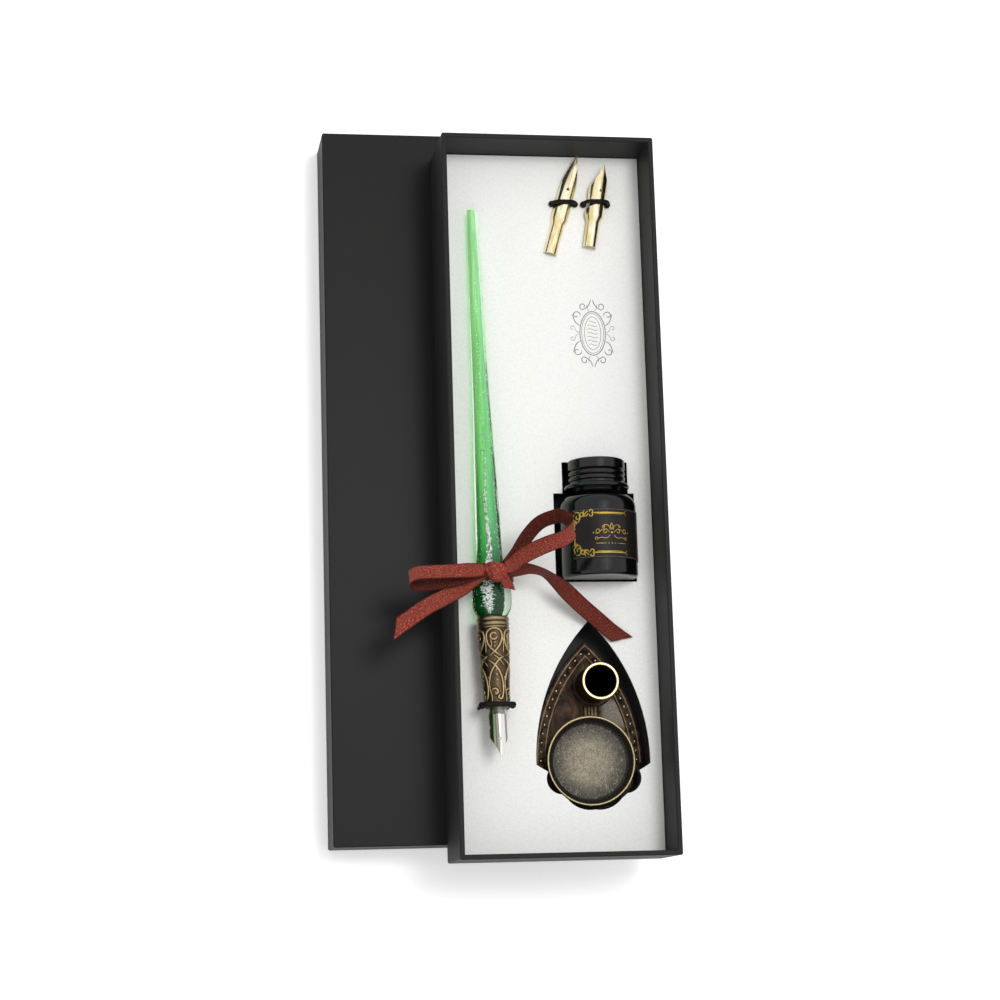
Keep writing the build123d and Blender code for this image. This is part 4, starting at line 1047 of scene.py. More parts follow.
def sheet_from(bm: bmesh.types.BMesh, across: int, along: int, place: Callable[[float, float], Vector],
               size: tuple[float, float]) -> None:
    """Shapes a flat grid into a sheet with a map in metres.

    Args:
        bm: Where it is built.
        across: Cells across.
        along: Cells along.
        place: Gives the point for a share across and a share along, each from 0 to 1.
        size: Width and length in metres, for the map.
    """
    uv = bm.loops.layers.uv.get("UVMap") or bm.loops.layers.uv.new("UVMap")
    verts = bmesh.ops.create_grid(bm, x_segments=across, y_segments=along, size=0.5)["verts"]
    faces = {face for vert in verts for face in vert.link_faces}
    shares = {vert: (vert.co.x + 0.5, vert.co.y + 0.5) for vert in verts}
    for face in faces:
        for loop in face.loops:
            u, v = shares[loop.vert]
            loop[uv].uv = (u * size[0], v * size[1])
    for vert, (u, v) in shares.items():
        vert.co = place(u, v)


@dataclass(frozen=True)
class Bead:
    """Section of a raised line: half its width, half its height, and its sides."""

    half_width: float
    half_height: float
    sides: int = 8


def raised_line(bm: bmesh.types.BMesh, points: Sequence[Vector], normals: Sequence[Vector], bead: Bead,
                taper: float = 0.0, closed: bool = False) -> None:
    """Adds a raised line that lies on a surface.

    Args:
        bm: Where it is built.
        points: Its run on the surface, in metres.
        normals: The surface's normals there.
        bead: Its section, in metres.
        taper: Share of its length over which each end thins out.
        closed: Whether its end meets its start.
    """
    rings: list[list[Vector]] = []
    last = len(points) - 1
    for k, (point, up) in enumerate(zip(points, normals)):
        before = points[k - 1] if closed or k else points[0]
        after = points[(k + 1) % len(points)] if closed else points[min(k + 1, last)]
        side = (after - before).normalized().cross(up).normalized()
        share = k / last
        thin = 1.0
        if taper and not closed:
            thin = 0.25 + 0.75 * min(1.0, share / taper, (1 - share) / taper)
        ring = []
        for n in range(bead.sides):
            turn = 2 * math.pi * n / bead.sides
            wide, high = bead.half_width * thin * math.cos(turn), bead.half_height * thin * math.sin(turn)
            ring.append(point + side * wide + up * high)
        rings.append(ring)
    sweep(bm, rings, closed)


def curl(centre: tuple[float, float], start: float, end: float, from_angle: float, to_angle: float,
         count: int = 22) -> Run:
    """Flat spiral.

    Args:
        centre: Its centre.
        start: Radius at the first point.
        end: Radius at the last point.
        from_angle: First angle, in degrees.
        to_angle: Last angle, in degrees.
        count: Number of points.

    Returns:
        Its points.
    """
    points = []
    for k in range(count):
        share = k / (count - 1)
        angle = math.radians(from_angle + (to_angle - from_angle) * share)
        radius = start + (end - start) * share
        points.append((centre[0] + radius * math.cos(angle), centre[1] + radius * math.sin(angle)))
    return points


def smooth_run(points: Sequence[tuple[float, float]], count: int = 24) -> Run:
    """Smooth flat run through a few points."""
    return [tuple(catmull(points, k / (count - 1))) for k in range(count)]


# ---------------------------------------------------------------------- stage
def seen_ray(tree: Tree) -> bpy.types.NodeSocket:
    """One for rays that show a surface, in the picture, a reflection or through glass."""
    path = tree.node("LightPath").outputs
    return tree.maths("MAXIMUM", path["Is Camera Ray"],
                      tree.maths("MAXIMUM", path["Is Glossy Ray"], path["Is Transmission Ray"]))


@dataclass
class Studio:
    """Camera, lamps, backdrop and floor."""

    place: Vector = field(default_factory=lambda: Vector((-0.1504, -0.1836, 0.960)))
    turn: tuple[float, float, float] = (0.1914, -0.1581, -0.02974)
    lens: float = 85.36
    ambient: float = 0.62
    floor_lift: float = 0.36

    def build(self) -> None:
        """Builds the whole stage."""
        self._camera()
        self._world()
        self._floor()
        above = Vector((0.36, 0.26, 1.80))
        key = self._lamp("key_lamp", above, 0.8, 9.5)
        key.visible_glossy = False
        self._lamp("glint_lamp", above, 0.45, 6.5)
        view = bpy.context.scene.view_settings
        view.view_transform = "Standard"

    def _camera(self) -> None:
        """Makes the camera."""
        data = bpy.data.cameras.new("camera")
        data.lens = self.lens
        data.sensor_width = 36.0
        data.clip_start = 0.01
        made = bpy.data.objects.new("camera", data)
        made.location = self.place
        made.rotation_euler = self.turn
        bpy.context.scene.collection.objects.link(made)
        bpy.context.scene.camera = made

    def _lamp(self, name: str, place: Vector, size: float, power: float) -> bpy.types.Object:
        """Makes a soft square lamp that looks at the set.

        Args:
            name: Name of the lamp.
            place: Where it hangs.
            size: Its width, in metres.
            power: Its power, in watts.

        Returns:
            The lamp.
        """
        data = bpy.data.lights.new(name, "AREA")
        data.shape = "SQUARE"
        data.size = size
        data.energy = power
        made = bpy.data.objects.new(name, data)
        made.location = place
        made.rotation_euler = (-place).to_track_quat("-Z", "Y").to_euler()
        bpy.context.scene.collection.objects.link(made)
        return made

    def _world(self) -> None:
        """Makes a plain world: white where it is seen, softer where it lights."""
        world = bpy.data.worlds.new("studio")
        world.use_nodes = True
        bpy.context.scene.world = world
        tree = Tree(world.node_tree)
        world.node_tree.nodes.clear()
        back = tree.node("Background",
                         {0: (1.0, 1.0, 1.0, 1.0), 1: tree.span(seen_ray(tree), 0.0, 1.0, self.ambient, 1.0)})
        tree.node("OutputWorld", {0: back})

    def _floor(self) -> None:
        """Makes the plain pale floor."""
        bm = bmesh.new()
        bmesh.ops.create_grid(bm, x_segments=2, y_segments=2, size=6.0)
        mesh = bpy.data.meshes.new("floor")
        bm.to_mesh(mesh)
        bm.free()
        paint = Paint("floor_paper", Specular_IOR_Level=0.1, Emission_Color=(1, 1, 1, 1))
        cloud = paint.noise(paint.place, 3.0, 2.0)
        paint.put(Base_Color=paint.mix(cloud, (0.96, 0.96, 0.96, 1), (0.98, 0.98, 0.98, 1)), Roughness=0.9)
        paint.put(Emission_Strength=paint.maths("MULTIPLY", seen_ray(paint), self.floor_lift))
        mesh.materials.append(paint.material)
        made = bpy.data.objects.new("floor", mesh)
        bpy.context.scene.collection.objects.link(made)


# ------------------------------------------------------------------------ pen
@dataclass
class Pen:
    """Glass dip pen: clear glass, green core, silver leaf and scrolled ferrule."""

    tail: Vector = field(default_factory=lambda: Vector((-6.85, 113.20, 41.29)) * MM)
    axis: Vector = field(default_factory=lambda: Vector((PEN_SLANT, -1.0, 0.0335)).normalized())
    glass: tuple[tuple[float, float, float, float], ...] = (
        (0.0, 4.1, 0.30, 0.0), (20.0, 4.6, 0.29, 4.0), (40.0, 5.05, 0.28, 8.0), (60.0, 5.5, 0.27, 12.0),
        (80.0, 6.01, 0.27, 16.0), (100.0, 6.95, 0.27, 20.0),
        (121.0, 8.02, 0.28, 24.0), (134.0, 8.6, 0.30, 27.0), (146.0, 9.4, 0.34, 30.0),
        (153.0, 12.8, 0.44, 32.0), (157.0, 14.8, 0.47, 32.5),
        (161.6, 15.7, 0.485, 33.0), (166.2, 14.7, 0.485, 34.0), (169.3, 11.6, 0.485, 34.0))
    core: tuple[tuple[float, float], ...] = (
        (0.8, 1.35), (6.0, 1.5), (20.0, 1.65), (40.0, 1.8), (80.0, 2.15), (121.0, 2.95), (137.0, 3.3),
        (146.0, 3.6), (153.0, 4.0), (161.6, 4.4), (166.2, 4.1), (168.4, 3.0))
    core_shift: float = 0.35
    bulb_shift: float = 0.75
    glass_sides: int = 56
    core_sides: int = 40
    core_steps: int = 115
    tenon_end: float = 179.4
    tenon_radius: float = 3.9
    leaf_rows: int = 330
    flecks: int = 560
    seed: int = 7
    cone: tuple[float, float, float, float] = (173.1, 205.1, 6.2, 4.8)

    def __post_init__(self) -> None:
        """Works out the pen's own directions."""
        self.side = Vector((0, 0, 1)).cross(self.axis).normalized()
        self.up = self.axis.cross(self.side)

    def at(self, s: float, turn: float, radius: float) -> Vector:
        """Point round the pen's axis.

        Args:
            s: Millimetres from the tail.
            turn: Degrees round from the top, towards the pen's side.
            radius: Millimetres from the axis.

        Returns:
            The point, in metres.
        """
        angle = math.radians(turn)
        away = self.side * math.sin(angle) + self.up * math.cos(angle)
        return self.tail + self.axis * (s * MM) + away * (radius * MM)

    def out(self, turn: float) -> Vector:
        """Direction away from the axis at a turn from the top."""
        angle = math.radians(turn)
        return self.side * math.sin(angle) + self.up * math.cos(angle)

    @staticmethod
    def read(table: Sequence[Sequence[float]], s: float) -> list[float]:
        """Reads a table of stations smoothly at a distance from the tail."""
        for k in range(len(table) - 1):
            if s <= table[k + 1][0]:
                break
        t = (s - table[k][0]) / (table[k + 1][0] - table[k][0])
        return catmull(table, (k + min(max(t, 0.0), 1.0)) / (len(table) - 1))

    @staticmethod
    def reach(width: float, share: float, turn: float) -> float:
        """Radius of a rounded square at a turn from the middle of a side.

        Args:
            width: Across its flats.
            share: Corner radius as a share of the width.
            turn: Angle, in radians.

        Returns:
            The distance from its centre to its edge.
        """
        half, radius = width / 2, width * share
        fold = abs((turn + math.pi / 4) % (math.pi / 2) - math.pi / 4)
        flat = half / math.cos(fold)
        if flat * math.sin(fold) <= half - radius:
            return flat
        c = half - radius
        along = c * (math.cos(fold) + math.sin(fold))
        return along + math.sqrt(max(along * along - 2 * c * c + radius * radius, 0.0))

    def build(self) -> None:
        """Builds and dresses the pen."""
        self._glass()
        self._core()
        self._leaf()
        self._scrolls()
        dress(pen_collars=Look.COLLAR, pen_ferrule=Look.FERRULE, nib_holder=Look.HOLDER, pen_nib=Look.STEEL)

    def _glass(self) -> None:
        """Draws the clear glass, a rounded square that twists and swells into the bulb."""
        rings = []
        shoulder, sides = self.glass[-1][0], self.glass_sides
        for s in [0.0, 0.35, 1.0] + [2.0 + 1.6 * k for k in range(105)] + [shoulder]:
            _, width, share, twist = self.read(self.glass, s)
            shrink = 0.72 if s == 0.0 else 0.93 if s < 0.5 else 1.0
            ring = []
            for n in range(sides):
                turn = 2 * math.pi * n / sides
                ring.append(self.at(s, math.degrees(turn),
                                    shrink * self.reach(width, share, turn - math.radians(twist))))
            rings.append(ring)
        for s in (shoulder, self.tenon_end):
            rings.append([self.at(s, 360 * n / sides, self.tenon_radius) for n in range(sides)])
        bm = bmesh.new()
        sweep(bm, rings)
        finish_piece("pen_glass_drawn", bm, Look.CLEAR_GLASS, Body.PEN, Slot.CLEAR, "pen_glass")

    def _core(self) -> None:
        """Draws the green core, lobed, slowly twisted and a little to one side."""
        start, end = self.core[0][0], self.core[-1][0]
        rings = []
        for k in range(self.core_steps + 1):
            s = start + (end - start) * k / self.core_steps
            _, radius = self.read(self.core, s)
            ring = []
            for n in range(self.core_sides):
                turn = 360 * n / self.core_sides
                three, five = math.radians(3 * turn + 0.9 * s), math.radians(5 * turn - 0.6 * s)
                lobe = 1.0 + 0.05 * math.cos(three) + 0.03 * math.cos(five)
                ring.append(self.at(s, turn, radius * lobe) - self.aside(s))
            rings.append(ring)
        bm = bmesh.new()
        sweep(bm, rings)
        finish_piece("pen_core_drawn", bm, Look.GREEN_GLASS, Body.PEN, Slot.GREEN, "pen_core")

    def aside(self, s: float) -> Vector:
        """How far the core lies beside the axis at a distance from the tail, more in the bulb."""
        bulb = min(1.0, max(0.0, (s - 144.0) / 14.0))
        return self.side * ((self.core_shift + self.bulb_shift * bulb * bulb * (3 - 2 * bulb)) * MM)

    def leaf_reach(self, s: float, turn: float, lift: float) -> Vector:
        """Point over the core at a turn, lifted into the clear glass."""
        _, radius = self.read(self.core, s)
        return self.at(s, turn, radius * 1.09 + lift) - self.aside(s)

    def _leaf(self) -> None:
        """Lays crumpled silver leaf along the front of the core and flecks beside it."""
        rng = random.Random(self.seed)
        bm = bmesh.new()
        widths = ((88.0, 0.08), (100.0, 0.22), (123.0, 0.44), (139.0, 0.78), (147.0, 1.02), (155.0, 1.6),
                  (162.0, 2.05), (165.5, 1.4), (168.0, 0.25))
        rows = self.leaf_rows
        ragged = [(rng.uniform(0.4, 1.3), rng.uniform(0.4, 1.3)) for _ in range(rows + 1)]

        def place(u: float, v: float) -> Vector:
            """Point of the strip over the core, crumpled."""
            s = widths[0][0] + (widths[-1][0] - widths[0][0]) * v
            _, half = self.read(widths, s)
            left, right = ragged[round(v * rows)]
            _, radius = self.read(self.core, s)
            width = half * (left if u < 0.5 else right) * (2 * u - 1)
            crumple = noise.noise(Vector((u * 4.3 * half, s * 2.6, 3.0)))
            drift = 0.3 * math.sin(s * 0.19) + 0.25 * noise.noise(Vector((s * 0.6, 9.0, 0.0)))
            along = s + 0.35 * noise.noise(Vector((u * 6.0, s * 1.9, 7.0)))
            return self.leaf_reach(along, math.degrees((width + drift) / radius) - 8.0, 0.3 + 0.42 * crumple)

        sheet_from(bm, 8, rows, place, (0.003, 0.08))
        drop = []
        for face in bm.faces:
            middle = face.calc_center_median()
            s = (self.tail.y - middle.y) / MM
            solid = min(1.0, max(0.0, (s - 96.0) / 62.0))
            if noise.noise(Vector((middle.x * 900.0, middle.y * 620.0, 1.3))) > -0.05 + 0.62 * solid:
                drop.append(face)
        bmesh.ops.delete(bm, geom=drop, context="FACES")
        self._flecks(bm, rng)
        made = finish_piece("pen_silver_leaf", bm, Look.SILVER_LEAF, Body.PEN, Slot.FOIL, "pen_foil",
                            smooth=False, recalc=False)
        thicken(made, 0.04 * MM)

    def _flecks(self, bm: bmesh.types.BMesh, rng: random.Random) -> None:
        """Scatters small flecks of leaf in the clear glass.

        Args:
            bm: Where they are built.
            rng: Seeded numbers.
        """
        for _ in range(self.flecks):
            s = 10.0 + 157.0 * rng.random() ** 0.75
            turn = rng.choice((rng.gauss(-8, 8), rng.gauss(62, 7), rng.gauss(70, 9), rng.gauss(-78, 8),
                               rng.uniform(-95, 95)))
            size = rng.uniform(0.12, 0.26) * (1.0 + 0.8 * max(0.0, (s - 120) / 46))
            if s > 148.0 and turn > 12.0 and rng.random() < 0.8:
                continue
            verts = bmesh.ops.create_circle(bm, cap_ends=True, segments=5, radius=1.0)["verts"]
            wide, long = size * rng.uniform(0.5, 1.0), size * rng.uniform(0.8, 1.7)
            lift = 0.2 + rng.uniform(0.0, 0.15)
            for vert in verts:
                x, y = vert.co.x * wide * rng.uniform(0.6, 1.2), vert.co.y * long * rng.uniform(0.6, 1.2)
                _, radius = self.read(self.core, s)
                vert.co = self.leaf_reach(s + y, turn + math.degrees(x / radius),
                                          lift + rng.uniform(0.0, 0.12))

    def on_cone(self, points: Iterable[tuple[float, float]],
                turn: float) -> tuple[list[Vector], list[Vector]]:
        """Wraps a flat run round the ferrule.

        Args:
            points: Millimetres round and millimetres down from the collar.
            turn: Degrees that the run is turned round the axis.

        Returns:
            The points and the normals there.
        """
        start, end, wide, narrow = self.cone
        places, normals = [], []
        for x, y in points:
            radius = wide + (narrow - wide) * y / (end - start)
            angle = turn + math.degrees(x / (0.5 * (wide + narrow)))
            places.append(self.at(start + y, angle, radius))
            normals.append(self.out(angle))
        return places, normals

    def _scrolls(self) -> None:
        """Raises the scrolls, eyes, crossed strands and dots of the ferrule, and lays under each run a wider,
        flat dark line as painted shadow.
        """
        thick, thin = Bead(0.43 * MM, 0.34 * MM), Bead(0.27 * MM, 0.25 * MM, 6)
        runs: list[tuple[Sequence[tuple[float, float]], Bead]] = [
            (smooth_run(((2.9, 12.4), (0.4, 10.9), (-2.3, 8.0), (-3.1, 4.9), (-2.5, 2.4), (-0.4, 1.2),
                         (2.0, 2.0), (2.9, 4.2), (2.2, 7.2), (0.2, 10.0), (-2.4, 12.2)), 46), thick),
            (curl((-0.3, 4.3), 1.3, 1.2, 0, 340), thick),
            (smooth_run(((-1.7, 5.4), (-1.2, 7.4), (-1.9, 9.6)), 14), thin),
            (smooth_run(((-3.6, 13.2), (-0.6, 15.4), (1.5, 18.4), (2.7, 22.0), (2.9, 26.0), (2.0, 28.9),
                         (0.6, 28.3), (1.2, 27.1)), 44), thick),
            (smooth_run(((3.7, 12.2), (1.6, 13.4), (-0.2, 15.6), (-2.2, 18.8), (-3.1, 22.4)), 26), thick),
            (smooth_run(((-0.6, 11.8), (1.4, 13.3), (3.6, 16.0)), 16), thin),
            (curl((-0.7, 26.3), 1.7, 0.55, 200, 480, 28), thick),
            (smooth_run(((-3.2, 20.6), (-3.0, 24.4), (-2.2, 28.4), (-2.6, 30.6)), 20), thin),
            (smooth_run(((-3.7, 4.6), (-3.5, 7.8), (-3.7, 10.8)), 12), thin),
        ]
        bm, scroll_shadows = bmesh.new(), bmesh.new()
        for repeat in range(5):
            turn = -6.0 + 72.0 * repeat
            for run, bead in runs:
                points, normals = self.on_cone(run, turn)
                raised_line(bm, points, normals, bead, 0.12)
                # Painted shadow: a wider, flat dark line under each raised run, showing at both its sides.
                raised_line(scroll_shadows, points, normals, Bead(bead.half_width + 0.26 * MM, 0.05 * MM, 6), 0.12)
            for x, y, radius in ((0.0, 6.7, 0.36), (0.0, 8.3, 0.32), (0.3, 17.4, 0.36), (0.3, 19.4, 0.46),
                                 (0.2, 21.4, 0.38), (0.1, 23.1, 0.3), (-0.6, 26.3, 0.36), (3.6, 20.4, 0.4),
                                 (3.6, 24.0, 0.42)):
                (point,), (normal,) = self.on_cone([(x, y)], turn)
                ball = bmesh.ops.create_icosphere(bm, subdivisions=2, radius=radius * MM)["verts"]
                flat = Matrix.Scale(0.6, 3, normal)
                for vert in ball:
                    vert.co = flat @ vert.co + point
        for y, half in ((0.5, 0.26), (30.7, 0.22)):
            mean = 0.5 * (self.cone[2] + self.cone[3])
            points, normals = self.on_cone([(mean * math.radians(360 * k / 48), y) for k in range(48)], 0.0)
            raised_line(bm, points, normals, Bead(half * MM, half * MM, 6), closed=True)
        finish_piece("ferrule_scrolls", bm, Look.SCROLL, Body.PEN, Slot.BRONZE)
        finish_piece("ferrule_scroll_shadows", scroll_shadows, Look.SCROLL_SHADOW, Body.PEN, Slot.BRONZE)


# --------------------------------------------------------------------- ribbon
@dataclass(frozen=True)
class Strap:
    """One strap of the bow: stations of x, y, z and width direction, in millimetres.

    pinch is the share of the full width at the first and the last station, pleat how deep it folds there,
    slant how far its loose end is cut on the skew, inside whether its second side takes a darker copy of the
    satin as painted shade, and look its finish.
    """

    name: str
    node: str
    stations: tuple[Station, ...]
    pinch: tuple[float, float] = (0.72, 1.0)
    pleat: tuple[float, float] = (0.5, 0.0)
    slant: float = 0.0
    inside: bool = False
    look: Look = Look.RIBBON


@dataclass
class Bow:
    """Satin ribbon bow: band round the pen, knot, two loops and two tails."""

    width: float = RIBBON_WIDTH / MM
    thickness: float = 0.28
    knot_x: float = -4.22
    knot_y: float = -38.89
    mid: float = 58.15
    knot_half: float = 4.2
    band_half: float = 8.65
    band_top: float = 55.35
    band_low: float = 36.6
    band_steps: int = 72
    band_sides: int = 16

    def from_knot(self, side: int, offsets: Sequence[Station]) -> tuple[Station, ...]:
        """Puts stations beside the knot.

        Args:
            side: Minus one for the left, one for the right, nought for the knot's middle.
            offsets: Stations whose x, y and z count from where the ribbon leaves the knot.

        Returns:
            The stations in the set's frame.
        """
        x, y, z = self.knot_x + side * self.knot_half, self.knot_y, self.mid
        return tuple((x + a, y + b, z + c, *across) for a, b, c, *across in offsets)

    def straps(self) -> list[Strap]:
        """The loops and tails, from the knot outwards."""
        return [
            Strap("bow_loop_left", "ribbon_loop_left", self.from_knot(-1, (
                (0, 0.4, 0.9, 0, 1, 0), (-4.2, -0.3, 2.9, 0, 0.96, -0.28),
                (-10, -1.2, 7.05, 0, 0.9, -0.43), (-19.4, -1.9, 9.05, 0, 0.88, -0.47),
                (-26.4, -2.2, 9.45, 0, 0.88, -0.47), (-29.4, -3, 8.25, 0, 0.88, -0.47),
                (-30.4, -4.4, 6.05, 0, 0.88, -0.47), (-28.8, -5.6, 4.05, 0, 0.88, -0.47),
                (-24.8, -6, 3.25, 0, 0.88, -0.47), (-18.7, -5.2, 3.15, 0, 0.9, -0.43),
                (-10.9, -3.4, 2.95, 0, 0.95, -0.3), (-4.8, -1.2, 1.1, 0, 0.98, -0.16), (0, 0, 0, 0, 1, 0))),
                (0.7, 0.7), (0.55, 0.5), inside=True),
            Strap("bow_tail_left", "ribbon_tail_left", self.from_knot(-1, (
                (0, -0.3, -0.8, 0, 1, 0), (-4.8, -3.4, -0.9, -0.25, 0.97, -0.1),
                (-9.8, -7.4, 1.85, -0.45, 0.88, -0.1), (-16.8, -11.2, 2.95, -0.48, 0.87, -0.05),
                (-24, -15, 3.05, -0.48, 0.87, 0), (-35.4, -22.8, 2.35, -0.5, 0.86, 0))),
                (0.75, 1.0), (0.45, 0.0), -7.0),
            Strap("bow_loop_right", "ribbon_loop_right", self.from_knot(1, (
                (0, 0.8, 0, 0, 1, 0), (4.2, 6.2, 1.6, -0.75, 0.55, 0.35), (8.4, 13, 4, -0.7, 0.5, 0.55),
                (13.2, 17.8, 6.6, -0.55, 0.6, 0.6), (19, 19.6, 9.8, -0.35, 0.75, 0.58),
                (21.72, 18.4, 13.2, -0.2, 0.85, 0.48), (24.22, 15.6, 16, -0.15, 0.88, 0.45),
                (23.52, 12.4, 17.8, -0.18, 0.88, 0.44), (20.32, 9.6, 17.6, -0.25, 0.86, 0.44),
                (15.72, 8.2, 15.6, -0.3, 0.86, 0.42), (10.32, 6.4, 11.2, -0.3, 0.88, 0.36),
                (5.72, 4.4, 6.2, -0.2, 0.93, 0.25), (2.2, 1.8, 2.2, -0.05, 0.99, 0.1),
                (0, 1, 1.4, 0, 1, 0))), (0.7, 0.7), (0.55, 0.5), inside=True),
            # The right tail takes a darker copy of the satin as painted shade.
            Strap("bow_tail_right", "ribbon_tail_right", self.from_knot(1, (
                (0, 0, -1.4, 0, 1, 0), (4.8, 0.7, -1.5, 0, 0.85, 0.52), (10.4, 0.6, -1.7, 0.1, 0.42, 0.9),
                (16.2, -0.9, -2.8, 0.15, 0.24, 0.96), (21.4, -4.2, -4.8, 0.28, 0.5, 0.82),
                (26.8, -8.4, -8.65, 0.5, 0.76, 0.42), (32.2, -12.6, -11.85, 0.62, 0.78, 0.15),
                (39.2, -17.6, -15.65, 0.66, 0.75, 0.05), (44.4, -21.6, -17.85, 0.7, 0.71, 0),
                (49.2, -25, -18.65, 0.7, 0.71, 0))), (0.72, 1.0), (0.5, 0.0), 6.6, look=Look.RIBBON_SHADED),
        ]

    def build(self) -> None:
        """Builds the bow."""
        for strap in self.straps():
            self._strap(strap)
        tab = self.from_knot(0, ((2.2, -1.2, -0.6, 0.86, 0.5, 0.1), (4.0, -3.6, -1.0, 0.84, 0.5, 0.2),
                                 (5.9, -6.9, -2.2, 0.8, 0.5, 0.3)))
        self._strap(Strap("bow_tab", "", tab, (0.62, 0.62), (0.3, 0.2), 3.2))
        self._band()
        self._knot()

    def _strap(self, strap: Strap) -> None:
        """Builds one strap as a thin sheet along its stations.

        Args:
            strap: The strap.
        """
        count = 26 * len(strap.stations) // 2
        runs = [(Vector(a[:3]) - Vector(b[:3])).length for a, b in zip(strap.stations, strap.stations[1:])]
        length, last = sum(runs), runs[-1] * len(runs)
        step = 0.004

        def place(u: float, v: float) -> Vector:
            """Point of the strap."""
            cut = strap.slant * (u - 0.5) * max(0.0, 1 - (1 - v) * length / 15) ** 1.5
            reach = v + cut / last
            share = min(reach, 1 - step)
            here = catmull(strap.stations, share)
            ahead = catmull(strap.stations, share + step)
            back = catmull(strap.stations, max(share - step, 0.0))
            along = (Vector(ahead[:3]) - Vector(back[:3])).normalized()
            across = Vector(here[3:])
            across = (across - along * across.dot(along)).normalized()
            up = along.cross(across)
            near, far = math.exp(-v * length / 5.0), math.exp(-(1 - v) * length / 5.0)
            tight = 1 - (1 - strap.pinch[0]) * near - (1 - strap.pinch[1]) * far
            fold = strap.pleat[0] * near + strap.pleat[1] * far
            crown = 0.28 * (1 - (2 * u - 1) ** 2)
            wave = 0.16 * noise.noise(Vector((u * 2, v * length * 0.16, 1.7)))
            wave += 0.05 * noise.noise(Vector((u * 9, v * length * 0.7, 4.1)))
            ripple = fold * math.sin(u * 2.6 * math.pi + 0.6) + crown + wave
            point = Vector(here[:3]) + across * ((u - 0.5) * self.width * tight) + up * ripple
            return (point + along * ((reach - share) * last)) * MM

        bm = bmesh.new()
        sheet_from(bm, 14, count, place, (self.width * MM, length * MM))
        made = finish_piece(strap.name, bm, strap.look, Body.INSERT, Slot.RIBBON, strap.node, recalc=False)
        # The loops' inner faces take a darker satin as painted shade.
        if strap.inside:
            made.data.materials.append(Look.RIBBON_INNER_SHADE.material)
        thicken(made, self.thickness * MM, int(strap.inside))

    def _band(self) -> None:
        """Builds the band that goes round the pen and through the card."""
        middle, rise = (self.band_top + self.band_low) / 2, (self.band_top - self.band_low) / 2

        def outline(v: float) -> tuple[float, float]:
            """Point of the band's loop, from the top round."""
            angle = 2 * math.pi * v
            x, z = math.sin(angle), math.cos(angle)
            power = 0.34 if z < 0 else 0.62
            return (self.band_half * math.copysign(abs(x) ** power, x),
                    middle + rise * math.copysign(abs(z) ** power, z))

        rings = []
        for k in range(self.band_steps):
            x, z = outline(k / self.band_steps)
            nx, nz = outline((k + 0.5) / self.band_steps)
            px, pz = outline((k - 0.5) / self.band_steps)
            along = Vector((nx - px, 0, nz - pz)).normalized()
            up = Vector((0, -1, 0)).cross(along)
            centre = Vector((self.knot_x + x, self.knot_y, z))
            ring = []
            for n in range(self.band_sides):
                angle = 2 * math.pi * n / self.band_sides
                wide = math.copysign(abs(math.cos(angle)) ** 0.35, math.cos(angle)) * self.width / 2
                ring.append((centre + Vector((0, 1, 0)) * wide + up * (0.17 * math.sin(angle))) * MM)
            rings.append(ring)
        bm = bmesh.new()
        sweep(bm, rings, closed=True)
        uv = bm.loops.layers.uv.new("UVMap")
        for face in bm.faces:
            for loop in face.loops:
                co = loop.vert.co
                loop[uv].uv = (co.y - (self.knot_y - self.width / 2) * MM, co.x + co.z)
        finish_piece("bow_band", bm, Look.RIBBON, Body.INSERT, Slot.RIBBON, "ribbon_band")

    def _knot(self) -> None:
        """Builds the knot: a rounded diamond wrap with a crease on one side."""
        corners = ((-143.0, 3.4), (-68.5, 4.3), (10.0, 5.2), (80.6, 3.9), (152.0, 4.7), (217.0, 3.4))
        bm = bmesh.new()
        bmesh.ops.create_uvsphere(bm, u_segments=72, v_segments=44, radius=1.0)
        for vert in bm.verts:
            x, y, z = vert.co
            flat = math.hypot(x, y)
            angle = (math.degrees(math.atan2(y, x)) + 143.0) % 360.0 - 143.0
            for k in range(len(corners) - 1):
                if corners[k][0] <= angle <= corners[k + 1][0]:
                    break
            t = (angle - corners[k][0]) / (corners[k + 1][0] - corners[k][0])
            radius = corners[k][1] + (corners[k + 1][1] - corners[k][1]) * (3 * t * t - 2 * t ** 3)
            spread = flat ** 0.62 if flat > 0 else 0.0
            px, py = x / max(flat, 1e-6) * spread, y / max(flat, 1e-6) * spread
            lane = px * 0.80 + py * 0.25
            crease = 0.30 * math.exp(-((lane + 0.50 - 0.12 * py) / 0.10) ** 2)
            crease += 0.14 * math.exp(-((px * 0.5 - py * 0.86 - 0.42) / 0.09) ** 2)
            roll = 0.06 * math.sin(9.0 * (px * 0.35 + py * 0.94))
            high = math.copysign(abs(z) ** 0.8, z) * (1 - crease + roll)
            wide, long = self.knot_x + px * radius, self.knot_y - 0.5 + py * radius
            vert.co = Vector((wide, long, self.mid - 0.35 + high * 2.75)) * MM
        uv = bm.loops.layers.uv.new("UVMap")
        for face in bm.faces:
            for loop in face.loops:
                co = loop.vert.co
                wide = (co.x - self.knot_x * MM) * 0.86 + (co.y - self.knot_y * MM) * 0.5
                loop[uv].uv = (self.width * MM * 0.5 + 0.5 * wide, co.y * 0.86 - co.x * 0.5 + co.z)
        finish_piece("bow_knot", bm, Look.RIBBON, Body.INSERT, Slot.RIBBON, "ribbon_knot")


